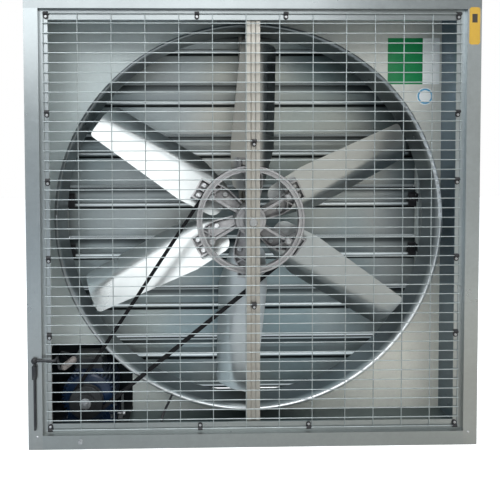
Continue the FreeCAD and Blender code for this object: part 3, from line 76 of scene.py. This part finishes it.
# ---- material builder --------------------------------------------------------------------
class Shader:
    """Builds one procedural material on the object's own coordinates.

    Noise and cell scales are features per metre, and relief depths are metres.
    """

    def __init__(self, name):
        self.material = bpy.data.materials.new(name)
        self.material.use_nodes = True
        self.tree = self.material.node_tree
        self.surface = self.tree.nodes["Principled BSDF"]
        self.place = self.node("ShaderNodeTexCoord").outputs["Object"]

    def node(self, kind, **settings):
        made = self.tree.nodes.new(kind)
        for key, value in settings.items():
            setattr(made, key, value)
        return made

    def join(self, source, target):
        if isinstance(source, bpy.types.NodeSocket):
            self.tree.links.new(source, target)
        elif isinstance(source, tuple) and len(source) == 3 and target.type == "RGBA":
            target.default_value = (*source, 1.0)
        else:
            target.default_value = source

    def stretched(self, scale_xyz):
        mapping = self.node("ShaderNodeMapping")
        self.join(self.place, mapping.inputs["Vector"])
        mapping.inputs["Scale"].default_value = scale_xyz
        return mapping.outputs["Vector"]

    def noise(self, scale, detail=3.0, rough=0.55, stretch=None):
        made = self.node("ShaderNodeTexNoise")
        self.join(self.stretched(stretch) if stretch else self.place, made.inputs["Vector"])
        made.inputs["Scale"].default_value = scale
        made.inputs["Detail"].default_value = detail
        made.inputs["Roughness"].default_value = rough
        return made.outputs["Fac"]

    def cells(self, scale):
        """Voronoi crystals: one random grey per cell."""
        made = self.node("ShaderNodeTexVoronoi")
        self.join(self.place, made.inputs["Vector"])
        made.inputs["Scale"].default_value = scale
        split = self.node("ShaderNodeSeparateColor")
        self.join(made.outputs["Color"], split.inputs["Color"])
        return split.outputs["Red"]

    def spread(self, value, low, high, to_low=0.0, to_high=1.0):
        """Carry low..high over to to_low..to_high, held at both ends."""
        made = self.node("ShaderNodeMapRange")
        self.join(value, made.inputs["Value"])
        made.inputs["From Min"].default_value = low
        made.inputs["From Max"].default_value = high
        made.inputs["To Min"].default_value = to_low
        made.inputs["To Max"].default_value = to_high
        return made.outputs["Result"]

    def math(self, operation, a, b=0.5):
        made = self.node("ShaderNodeMath", operation=operation)
        self.join(a, made.inputs[0])
        self.join(b, made.inputs[1])
        return made.outputs["Value"]

    def both(self, *factors):
        """All of the factors at once: their product."""
        product = factors[0]
        for factor in factors[1:]:
            product = self.math("MULTIPLY", product, factor)
        return product

    def mix(self, factor, a, b, mode="MIX"):
        made = self.node("ShaderNodeMix", data_type="RGBA", blend_type=mode)
        self.join(factor, made.inputs["Factor"])
        self.join(a, made.inputs[6])
        self.join(b, made.inputs[7])
        return made.outputs[2]

    def veil(self, tone, pattern, low, high, strength, other):
        """Lay another colour over the tone where the pattern rises from low to high."""
        return self.mix(self.spread(pattern, low, high, 0.0, strength), tone, other)

    def tint(self, tone, amount, colour):
        """Multiply the tone by a colour, as far as the amount says."""
        return self.mix(amount, tone, self.mix(1.0, tone, colour, mode="MULTIPLY"))

    def axis(self, letter):
        split = self.node("ShaderNodeSeparateXYZ")
        self.join(self.place, split.inputs["Vector"])
        return split.outputs[letter]

    def around_axis(self):
        """Distance from the fan's axis, and how far up and to the right of it (-1 to 1)."""
        x = self.math("SUBTRACT", self.axis("X"), AXIS.x)
        z = self.math("SUBTRACT", self.axis("Z"), AXIS.z)
        squares = self.math("ADD", self.math("POWER", x, 2.0), self.math("POWER", z, 2.0))
        away = self.math("SQRT", squares)
        return away, self.math("DIVIDE", z, away), self.math("DIVIDE", x, away)

    def between(self, letter, low, high):
        """1 where the coordinate lies between low and high."""
        value = self.axis(letter)
        return self.both(self.math("GREATER_THAN", value, low), self.math("LESS_THAN", value, high))

    def seen_directly(self):
        """1 for the camera's own rays, 0 for reflections."""
        return self.node("ShaderNodeLightPath").outputs["Is Camera Ray"]

    def crevice(self, distance, darkest, closed=0.2, free=1.0):
        """Painted shade: darker towards inside corners, by ambient occlusion."""
        made = self.node("ShaderNodeAmbientOcclusion", samples=6)
        made.inputs["Distance"].default_value = distance
        return self.spread(made.outputs["AO"], closed, free, darkest, 1.0)

    def darken(self, colour, factor):
        grey = self.node("ShaderNodeCombineColor")
        for channel in ("Red", "Green", "Blue"):
            self.join(factor, grey.inputs[channel])
        return self.mix(1.0, colour, grey.outputs["Color"], mode="MULTIPLY")

    def relief(self, height, depth, strength=1.0, under=None):
        made = self.node("ShaderNodeBump")
        made.inputs["Distance"].default_value = depth
        made.inputs["Strength"].default_value = strength
        self.join(height, made.inputs["Height"])
        if under is not None:
            self.join(under, made.inputs["Normal"])
        return made.outputs["Normal"]

    def finish(self, colour, roughness, normal=None, **extra):
        self.join(colour, self.surface.inputs["Base Color"])
        self.join(roughness, self.surface.inputs["Roughness"])
        if normal is not None:
            self.join(normal, self.surface.inputs["Normal"])
        for key, value in extra.items():
            self.join(value, self.surface.inputs[key.replace("_", " ")])
        return self.material


def shade(colour, factor):
    return tuple(channel * factor for channel in colour)


# ---- materials ---------------------------------------------------------------------------
CLOUDS = (3.2, 4.0)                          # scale and detail of the zinc's soft clouds
LOW_LIGHT_FROM, LOW_LIGHT_TO = 0.62, 0.22      # heights between which painted light and shade of the lower part comes in


def galvanised(name, colour, grain=1.0, rough=0.30, roll=(1.0, 1.0, 0.08), metal=0.9,
               pitted=0.3, detail=None):
    """Hot-dip sheet: zinc crystals, rolling streaks, soft oil-canning, a little dust.

    detail(s, tone, metal) adds what one sheet has of its own and gives back its tone and metal.
    """
    s = Shader(name)
    crystal = s.cells(95.0 / grain)
    cloud = s.noise(*CLOUDS)
    tone = s.veil(colour, crystal, 0, 1, 0.35, shade(colour, 1.16))
    tone = s.veil(tone, s.cells(260.0 / grain), 0, 1, 0.14, shade(colour, 0.80))
    tone = s.veil(tone, cloud, 0.35, 0.7, 0.30, shade(colour, 0.88))
    tone = s.veil(tone, s.noise(26.0, 3.0, stretch=roll), 0.4, 0.75, 0.15, shade(colour, 1.2))
    tone = s.veil(tone, s.noise(7.0, 4.0, 0.6), 0.5, 0.8, 0.12, shade(colour, 0.6))
    if detail:
        tone, metal = detail(s, tone, metal)
    roughness = s.math("ADD", s.spread(crystal, 0, 1, rough - 0.02, rough + 0.03),
                       s.spread(cloud, 0.3, 0.7, -0.02, 0.04))
    buckle = s.relief(s.noise(2.1, 1.0), 0.003, 0.2)
    normal = s.relief(s.noise(420.0, 1.0), 0.00003, pitted, under=buckle)
    return s.finish(tone, roughness, normal, Metallic=metal)


def panel(name, colour, inner, inner_metal, low=None):
    """One side of the casing: its inner face has a tone and a metal of its own; that tone is painted
    light and shade for the side.
    """
    front_fold, edge = GUARD_SIDE + 0.0175, PANEL_FACE - 0.0008

    def detail(s, tone, metal):
        inside = s.both(s.math("GREATER_THAN", s.axis("Y"), front_fold),
                        s.math("LESS_THAN", s.math("ABSOLUTE", s.axis("X")), edge))
        clouded = s.mix(s.spread(s.noise(*CLOUDS), 0.3, 0.7), inner, shade(inner, 0.85))
        tone = s.mix(inside, tone, clouded)
        # Painted light and shade: the tone changes towards the bottom by the low colour.
        if low:
            tone = s.tint(tone, s.spread(s.axis("Z"), LOW_LIGHT_FROM, LOW_LIGHT_TO), low)
        return tone, s.spread(inside, 0.0, 1.0, metal, inner_metal)

    return galvanised(name, colour, detail=detail)


def orifice_sheet():
    """The plate round the opening, with painted light: warmer to the right and lighter below."""
    def detail(s, tone, metal):
        tone = s.tint(tone, s.spread(s.axis("Z"), LOW_LIGHT_FROM, LOW_LIGHT_TO), (1.32, 1.28, 1.24))
        return s.tint(tone, s.spread(s.axis("X"), -0.5, 0.6), (1.34, 1.22, 1.13)), metal

    return galvanised("galvanised_plate", (0.46, 0.52, 0.525), grain=0.8, rough=0.42,
                      metal=0.35, detail=detail)


def venturi_sheet():
    """The ring: its bore and rim carry painted shade above and to the left, and painted light below
    right.
    """
    colour = (0.80, 0.83, 0.84)
    front_edge, into_bore = 0.134, 0.160     # the bore's painted highlight is brightest at its front edge

    def detail(s, tone, metal):
        away, up, right = s.around_axis()
        # The side mask rises towards the lower right: painted light there, painted shade above and
        # to the left.
        lean = s.math("SUBTRACT", s.math("MULTIPLY", right, 0.45), s.math("MULTIPLY", up, 0.8))
        lit_side = s.spread(lean, -0.35, 0.75)
        rim = s.mix(lit_side, s.mix(1.0, tone, (0.24, 0.26, 0.27), mode="MULTIPLY"), tone)
        bright = s.both(lit_side, s.spread(s.axis("Y"), into_bore, front_edge))
        # The bore is painted dark as shade, with a painted highlight along its front edge on the lit
        # side.
        band = s.mix(bright, (0.085, 0.105, 0.115), shade(colour, 0.85))
        bore = s.math("LESS_THAN", away, BORE_RADIUS)
        tone = s.mix(s.math("MULTIPLY", bore, 0.85), rim, band)
        # Painted reflection: the polished blades mirror the bore, and see its left half painted
        # light.
        lit = s.mix(s.spread(s.axis("X"), -0.15, 0.10), (0.80, 0.92, 0.98), tone)
        direct = s.seen_directly()
        return s.mix(direct, lit, tone), s.spread(direct, 0.0, 1.0, 0.1, metal)

    return galvanised("galvanised_ring", colour, grain=2.6, pitted=0.1, detail=detail)


def louvre_sheet():
    """Louvres: painted shade and painted highlights along the folds, a painted glow of daylight, and
    painted shadow towards the ring at upper right.
    """
    def detail(s, tone, metal):
        # Painted light: the louvres are lighter towards the bottom.
        tone = s.tint(tone, s.spread(s.axis("Z"), LOW_LIGHT_FROM, LOW_LIGHT_TO), (1.14, 1.21, 1.24))
        tone = louvre_patches(s, tone)
        tone, shine = louvre_stripes(s, tone)
        away, up, right = s.around_axis()
        # Painted shadow of the ring over the louvres' upper right ends.
        corner = s.math("ADD", s.math("MULTIPLY", up, 0.7), s.math("MULTIPLY", right, 0.7))
        shadow = s.both(s.spread(away, 0.50, 0.61), s.spread(corner, 0.40, 0.90, 0.0, 0.80))
        tone = s.tint(tone, shadow, (0.22, 0.31, 0.36))
        # A painted glow: the highlight lines emit light, more towards the bottom.
        painted_glow = s.both(shine, s.spread(s.axis("Z"), 0.85, 0.25, 0.04, 0.42))
        s.join(painted_glow, s.surface.inputs["Emission Strength"])
        s.join((0.82, 0.93, 0.98), s.surface.inputs["Emission Color"])
        # Painted shade in the inside corners.
        return s.darken(tone, s.crevice(0.030, 0.10, closed=0.35, free=0.88)), metal

    return galvanised("galvanised_louvre", (0.36, 0.385, 0.385), grain=0.9, rough=0.33,
                      metal=0.6, roll=(0.06, 1.0, 1.0), detail=detail)


def louvre_patches(s, tone):
    """Soft cool and warm reflections along the louvres."""
    cool = s.noise(2.6, 1.0, stretch=(1.0, 1.0, 0.45))
    warm = s.noise(1.9, 1.0, stretch=(1.0, 1.0, -0.6))
    tone = s.tint(tone, s.spread(cool, 0.42, 0.66, 0.0, 0.75), (0.52, 0.68, 0.75))
    return s.tint(tone, s.spread(warm, 0.48, 0.66, 0.0, 0.8), (1.30, 1.20, 1.06))


def louvre_stripes(s, tone):
    """Painted shade on the swage, below it and under the overlap, and a painted highlight line
    beside each.

    Heights are measured from the pivot of each louvre.
    """
    turns = s.math("MULTIPLY", s.math("SUBTRACT", s.axis("Z"), LOWEST_PIVOT), 1 / LOUVRE_PITCH)
    wrapped = s.math("SUBTRACT", s.math("FRACT", s.math("ADD", turns, 0.5)), 0.5)
    height = s.math("MULTIPLY", wrapped, LOUVRE_PITCH)

    def stripe(middle, core, edge):
        away = s.math("ABSOLUTE", s.math("SUBTRACT", height, middle))
        return s.spread(away, core, edge, 1.0, 0.0)

    # Painted shade: dark lines below the swage and under the overlap.
    gap_shade = s.math("MAXIMUM", stripe(-0.028, 0.003, 0.009), stripe(0.038, 0.006, 0.017))
    tone = s.mix(s.math("MULTIPLY", gap_shade, 0.78), tone, (0.02, 0.03, 0.035))
    # Painted shade on the swage.
    swage = stripe(0.006, 0.016, 0.030)
    tone = s.mix(s.math("MULTIPLY", swage, 0.35), tone, (0.24, 0.272, 0.28))
    # Painted highlight lines, which also feed the painted glow.
    shine = s.math("MAXIMUM", stripe(-0.016, 0.002, 0.005), stripe(0.052, 0.002, 0.006))
    return s.mix(s.math("MULTIPLY", shine, 0.6), tone, (0.88, 0.94, 0.96)), shine


def polished_sheet():
    """Bright rolled stainless with soft smears; its roughness changes only slowly."""
    s = Shader("polished_steel")
    tone = s.veil(STAINLESS, s.noise(5.5, 1.5), 0.35, 0.7, 0.5, shade(STAINLESS, 0.88))
    tone = s.veil(tone, s.noise(34.0, 2.0), 0.45, 0.75, 0.18, shade(STAINLESS, 0.75))
    roughness = s.spread(s.noise(1.4, 0.0), 0.0, 1.0, 0.24, 0.35)
    return s.finish(tone, roughness, s.relief(s.noise(3.0, 0.0), 0.002, 0.1), Metallic=1.0)


def zinc_wire():
    s = Shader("zinc_wire")
    patch = s.noise(18.0, 4.0)
    tone = s.mix(s.spread(patch, 0.35, 0.7), WIRE, shade(WIRE, 0.74))
    drips = s.relief(s.noise(400.0, 2.0), 0.0006, 0.5)
    return s.finish(tone, s.spread(patch, 0.3, 0.7, 0.30, 0.46), drips, Metallic=0.75)


def cast_aluminium():
    """Die casting: fine grit, lighter and darker patches, painted shade in the hollows."""
    s = Shader("cast_aluminium")
    grit = s.noise(900.0, 3.0, 0.65)
    patch = s.noise(28.0, 5.0, 0.6)
    tone = s.mix(s.spread(patch, 0.3, 0.72), shade(CASTING, 1.18), shade(CASTING, 0.78))
    tone = s.veil(tone, grit, 0.35, 0.7, 0.35, shade(CASTING, 0.6))
    # Painted shade in the hollows.
    tone = s.darken(tone, s.crevice(0.022, 0.42))
    roughness = s.spread(patch, 0.3, 0.7, 0.36, 0.56)
    return s.finish(tone, roughness, s.relief(grit, 0.0006, 0.55), Metallic=0.85)


def turned_steel():
    s = Shader("turned_steel")
    stain = s.noise(60.0, 4.0)
    tone = s.mix(s.spread(stain, 0.45, 0.75), STEEL, shade(STEEL, 0.62))
    rings = s.relief(s.noise(1400.0, 1.0, stretch=(1.0, 0.05, 1.0)), 0.0003, 0.4)
    return s.finish(tone, s.spread(stain, 0.3, 0.7, 0.22, 0.42), rings, Metallic=1.0)


def zinc_plated():
    s = Shader("zinc_plated")
    bloom = s.noise(190.0, 4.0)
    tone = s.mix(s.spread(bloom, 0.35, 0.7), shade(STEEL, 1.15), shade(STEEL, 0.66))
    grain = s.relief(s.noise(900.0), 0.0003, 0.5)
    return s.finish(tone, s.spread(bloom, 0.3, 0.7, 0.24, 0.44), grain, Metallic=0.95)


def belt_rubber():
    """Fabric-wrapped V-belt: cross weave, chalky dust on the sides."""
    s = Shader("belt_rubber")
    weave = s.math("ADD", s.noise(1500.0, 1.0, stretch=(1.0, 0.12, 1.0)),
                   s.noise(1500.0, 1.0, stretch=(0.2, 1.0, 0.2)))
    dust = s.noise(45.0, 5.0, 0.7)
    tone = s.veil(RUBBER, dust, 0.5, 0.85, 0.3, (0.03, 0.03, 0.028))
    return s.finish(tone, s.spread(dust, 0.3, 0.7, 0.7, 0.9), s.relief(weave, 0.0006, 0.7),
                    Specular_IOR_Level=0.25)


def painted(name, colour, rough):
    """Sprayed paint: orange peel, and dust settled on top."""
    s = Shader(name)
    cloud = s.noise(22.0, 5.0, 0.65)
    tone = s.mix(s.spread(cloud, 0.3, 0.72), shade(colour, 1.5), shade(colour, 0.75))
    facing = s.node("ShaderNodeSeparateXYZ")
    s.join(s.node("ShaderNodeNewGeometry").outputs["Normal"], facing.inputs["Vector"])
    settled = s.both(s.spread(facing.outputs["Z"], 0.3, 1.0, 0.0, 0.55),
                     s.spread(s.noise(60.0, 6.0, 0.7), 0.3, 0.7))
    tone = s.mix(settled, tone, (0.03, 0.03, 0.029))
    roughness = s.math("ADD", s.spread(cloud, 0.3, 0.7, rough, rough + 0.14),
                       s.math("MULTIPLY", settled, 0.4))
    peel = s.relief(s.noise(420.0, 2.0), 0.0006, 0.35)
    return s.finish(tone, roughness, peel, Coat_Weight=0.25)


def black_nylon():
    """Nylon moulding: fine texture, pale scuffs."""
    s = Shader("black_nylon")
    scuff = s.noise(75.0, 5.0, 0.7)
    tone = s.veil(PLASTIC, scuff, 0.5, 0.8, 0.6, SCUFFED_PLASTIC)
    texture = s.relief(s.noise(1300.0, 2.0), 0.0004, 0.5)
    return s.finish(tone, s.spread(scuff, 0.3, 0.7, 0.38, 0.58), texture)


JOINT_LEFT, JOINT_BACK = -0.625, 0.08    # the taped joint lies right of and before these


def rubber_and_tape():
    """Black rubber fittings; the joint just behind the guard is wrapped in pale tape."""
    s = Shader("rubber_and_tape")
    taped = s.both(s.math("GREATER_THAN", s.axis("X"), JOINT_LEFT),
                   s.math("LESS_THAN", s.axis("Y"), JOINT_BACK))
    turns = s.spread(s.noise(90.0, 3.0, stretch=(1.0, 1.0, -1.2)), 0.35, 0.65)
    tape = s.mix(turns, (0.20, 0.18, 0.17), (0.10, 0.09, 0.085))
    tone = s.mix(taped, PLASTIC, tape)
    return s.finish(tone, s.spread(turns, 0, 1, 0.35, 0.55), s.relief(turns, 0.002, 0.6))


def cable_sheath():
    s = Shader("cable_sheath")
    dust = s.noise(50.0, 5.0)
    tone = s.veil((0.012, 0.013, 0.016), dust, 0.45, 0.75, 0.5, (0.06, 0.06, 0.06))
    ripple = s.relief(s.noise(260.0, 2.0, stretch=(0.2, 1.0, 0.2)), 0.0006, 0.4)
    return s.finish(tone, s.spread(dust, 0.3, 0.7, 0.38, 0.58), ripple)


def varnished_copper():
    """Stator: the windings and the core under one coat of varnish."""
    s = Shader("varnished_copper")
    strands = s.noise(500.0, 2.0, stretch=(1.0, 0.2, 1.0))
    tone = s.mix(s.spread(strands, 0.3, 0.7), COPPER, shade(COPPER, 0.45))
    return s.finish(tone, s.spread(strands, 0.3, 0.7, 0.28, 0.5), s.relief(strands, 0.001, 0.6),
                    Metallic=0.8)


GREEN_EDGE, STICKER_TOP = 0.6215, 1.140       # right edge of the green field, foot of the plate
STICKER_X, STICKER_Z = 0.631, 1.107           # centre of the round sticker
STICKER_RING = (0.021, 0.027)                 # radii of the ring on it
TAG_BAR_X, TAG_BAR_Z = (0.6605, 0.6765), (1.296, 1.322)
TAG_BEFORE = 0.05                             # only the yellow tag lies in front of this Y


def blank_label_film():
    """Blank labels told apart by place: green and white plate, round sticker, yellow tag."""
    s = Shader("label_film")
    x, z = s.axis("X"), s.axis("Z")
    wear = s.noise(40.0, 5.0, 0.65)
    green = s.veil(GREEN, wear, 0.4, 0.75, 0.3, shade(GREEN, 0.7))
    white = s.veil(LABEL_WHITE, wear, 0.4, 0.75, 0.25, (0.62, 0.66, 0.68))
    squares = s.math("ADD", s.math("POWER", s.math("SUBTRACT", x, STICKER_X), 2.0),
                     s.math("POWER", s.math("SUBTRACT", z, STICKER_Z), 2.0))
    reach = s.math("SQRT", squares)
    ring = s.both(s.math("GREATER_THAN", reach, STICKER_RING[0]),
                  s.math("LESS_THAN", reach, STICKER_RING[1]))
    sticker = s.mix(ring, white, LABEL_BLUE)
    plate = s.mix(s.math("GREATER_THAN", x, GREEN_EDGE), green, white)
    plate = s.mix(s.math("LESS_THAN", z, STICKER_TOP), plate, sticker)
    yellow = s.veil(YELLOW, wear, 0.4, 0.75, 0.35, shade(YELLOW, 0.72))
    bar = s.both(s.between("Z", *TAG_BAR_Z), s.between("X", *TAG_BAR_X))
    tag = s.mix(bar, yellow, (0.03, 0.025, 0.02))
    tone = s.mix(s.math("LESS_THAN", s.axis("Y"), TAG_BEFORE), plate, tag)
    return s.finish(tone, s.spread(wear, 0.3, 0.7, 0.28, 0.42), s.relief(s.noise(30.0), 0.002, 0.15),
                    Coat_Weight=0.3)


def floor_material():
    """Pale floor; the metal sees it a little darker than the camera does."""
    s = Shader("studio_floor")
    cloud = s.noise(1.3, 5.0)
    pale = s.mix(s.spread(cloud, 0.3, 0.7), (0.90, 0.90, 0.90), (0.86, 0.86, 0.86))
    mirrored = s.mix(s.spread(s.axis("X"), -1.0, 1.0), (0.40, 0.43, 0.46), (0.50, 0.47, 0.42))
    direct = s.seen_directly()
    return s.finish(s.mix(direct, mirrored, pale), s.spread(cloud, 0.3, 0.7, 0.70, 0.82),
                    s.relief(s.noise(160.0), 0.0006, 0.3), Emission_Color=(1.0, 1.0, 1.0),
                    Emission_Strength=s.math("MULTIPLY", direct, 0.45))


# ---- dressing the CAD nodes --------------------------------------------------------------
def dress(material, *names):
    for name in names:
        slots = NODES[name].data.materials
        slots.clear()
        slots.append(material)


def numbered(first_part, last_part=""):
    """The nodes called first_part, a number and last_part."""
    return [name for name in NODES
            if name.startswith(first_part) and name.endswith(last_part)
            and name[len(first_part):len(name) - len(last_part)].isdigit()]


def dress_casing():
    # The front faces are lit and shaded copies of one zinc, painted lighter and darker per panel;
    # the inner tones and low tints are painted light and shade as well.
    dress(panel("galvanised_top", shade(ZINC, 0.54), (0.25, 0.31, 0.35), 0.3), "top_panel")
    dress(panel("galvanised_left", shade(ZINC, 0.68), (0.62, 0.64, 0.63), 0.1,
                low=(0.98, 0.94, 0.90)), "left_panel")
    dress(panel("galvanised_right", shade(ZINC, 0.80), (0.16, 0.22, 0.27), 0.6,
                low=(0.80, 0.77, 0.74)), "right_panel")
    dress(panel("galvanised_bottom", ZINC, (0.13, 0.18, 0.19), 0.5,
                low=(0.62, 0.61, 0.59)), "bottom_panel")
    dress(orifice_sheet(), "orifice_plate")
    dress(venturi_sheet(), "venturi_ring")
    dress(galvanised("galvanised_inner", (0.50, 0.53, 0.52), grain=0.8, rough=0.42, metal=0.6),
          "shutter_rails")
    dress(galvanised("galvanised_column", (0.37, 0.355, 0.32), grain=0.8, rough=0.40, metal=0.8),
          "front_column", "rear_column")
    dress(louvre_sheet(), *numbered("louvre_"))
    dress(blank_label_film(), "blank_labels")


def dress_drive():
    dress(polished_sheet(), *numbered("blade_"))
    dress(cast_aluminium(), "hub_casting", "fan_pulley")
    dress(belt_rubber(), "drive_belt")
    dress(turned_steel(), "axle", "bearing_inner_rings", "bearing_outer_sets", "motor_bearings",
          "motor_shaft", "rotor_core")
    dress(painted("motor_blue", MOTOR_BLUE, 0.26), "motor_housing", "motor_end_shields", "fan_cowl")
    dress(painted("black_paint", BLACK_PAINT, 0.34), "motor_bracket", "terminal_box")
    dress(painted("blackened_iron", BLACK_IRON, 0.36), "motor_pulley")
    dress(varnished_copper(), "stator_core")
    dress(cable_sheath(), "power_cables")
    dress(rubber_and_tape(), "cable_fittings")


def dress_small_parts():
    dress(zinc_wire(), "guard_mesh", "tie_rods")
    dress(zinc_plated(), "clip_screws", "frame_bolts", "blade_bolts", "axle_nuts", "pulley_screw",
          "panel_rivets", "tensioner_bracket")
    dress(black_nylon(), "guard_clips", "pivot_bushes", "cooling_fan",
          *numbered("louvre_", "_brackets"))


FOLD_ANGLE = math.radians(28)
ROUND_ANGLE = math.radians(50)
ROUND_NODES = ("venturi_ring", "guard_mesh", "tie_rods", "drive_belt", "power_cables",
               "cable_fittings")


def smooth_curved_faces():
    """Shade smoothly across shallow angles and keep folds and rims crisp."""
    for name, obj in NODES.items():
        limit = ROUND_ANGLE if name in ROUND_NODES else FOLD_ANGLE
        mesh = obj.data
        work = bmesh.new()
        work.from_mesh(mesh)
        for face in work.faces:
            face.smooth = True
        for edge in work.edges:
            edge.smooth = len(edge.link_faces) == 2 and edge.calc_face_angle(0.0) < limit
        work.to_mesh(mesh)
        work.free()


# ---- studio ------------------------------------------------------------------------------
FLOOR_REACH = 12.0
COOL_WALL = (0.36, 0.42, 0.46)
WARM_WALL = (0.46, 0.44, 0.40)
CEILING = (0.85, 0.92, 0.98)
FAN_CENTRE = (0.0, 0.2, 0.7)


def floor():
    mesh = bpy.data.meshes.new("studio_floor")
    work = bmesh.new()
    bmesh.ops.create_grid(work, x_segments=4, y_segments=4, size=FLOOR_REACH)
    work.to_mesh(mesh)
    work.free()
    obj = bpy.data.objects.new("studio_floor", mesh)
    bpy.context.scene.collection.objects.link(obj)
    obj.location = (0, 0, CAD_BOX[0][2] - 0.0005)
    mesh.materials.append(floor_material())


def softbox(name, place, target, size, power):
    data = bpy.data.lights.new(name, "AREA")
    data.shape = "RECTANGLE"
    data.size, data.size_y = size
    data.energy = power
    lamp = bpy.data.objects.new(name, data)
    bpy.context.scene.collection.objects.link(lamp)
    lamp.location = place
    lamp.rotation_euler = (Vector(target) - Vector(place)).to_track_quat("-Z", "Y").to_euler()
    return lamp


class Room(Shader):
    """The surroundings, built with the same nodes as a material."""

    def __init__(self):
        world = bpy.data.worlds.new("studio")
        bpy.context.scene.world = world
        world.use_nodes = True
        self.tree = world.node_tree
        self.place = self.node("ShaderNodeTexCoord").outputs["Generated"]


def surroundings():
    """White to the camera; to the metal a soft room: bright above, cool left, warm right."""
    room = Room()
    level = room.mix(room.spread(room.axis("X"), -0.7, 0.7), COOL_WALL, WARM_WALL)
    mirrored = room.mix(room.spread(room.axis("Z"), 0.15, 0.75), level, CEILING)
    seen = room.mix(room.seen_directly(), mirrored, (1.0, 1.0, 1.0))
    room.join(seen, room.tree.nodes["Background"].inputs["Color"])


def studio_light():
    surroundings()
    bpy.context.scene.view_settings.view_transform = "Standard"
    softbox("key", (-0.6, -2.1, 2.3), FAN_CENTRE, (3.2, 1.7), 40.0)
    fill = softbox("fill", (0.0, -3.2, 1.1), FAN_CENTRE, (2.6, 2.2), 70.0)
    fill.visible_glossy = False
    softbox("top", (0.0, -0.4, 3.4), (0.0, 0.3, 0.7), (2.6, 1.6), 40.0)
    softbox("rear", (0.6, 3.4, 2.2), FAN_CENTRE, (2.4, 1.8), 40.0)
    softbox("floor_wash", (0.0, 0.2, 4.6), (0.0, 0.2, 0.0), (6.0, 6.0), 60.0)


# The viewpoint: a little left of centre and above mid height, close to the fan, looking
# almost square on. The lens is shifted so that the fan fills the frame, its top at the edge.
VIEW_PLACE = (-0.1831, -1.5891, 0.8688)
VIEW_TURN, VIEW_TILT, VIEW_ROLL = math.radians(-1.031), math.radians(-1.734), math.radians(0.186)
SENSOR = 36.0
FOCAL = 37.87
SHIFT = (0.0935, -0.1386)


def camera():
    data = bpy.data.cameras.new("view")
    data.sensor_width = SENSOR
    data.lens = FOCAL
    data.shift_x, data.shift_y = SHIFT
    data.clip_start = 0.05
    obj = bpy.data.objects.new("view", data)
    bpy.context.scene.collection.objects.link(obj)
    upright = Matrix.Rotation(math.radians(90), 4, "X")
    turn = Matrix.Rotation(VIEW_TURN, 4, "Z") @ Matrix.Rotation(VIEW_TILT, 4, "X")
    roll = Matrix.Rotation(VIEW_ROLL, 4, "Y")
    obj.matrix_world = Matrix.Translation(VIEW_PLACE) @ turn @ roll @ upright
    bpy.context.scene.camera = obj


smooth_curved_faces()
dress_casing()
dress_drive()
dress_small_parts()
floor()
studio_light()
camera()
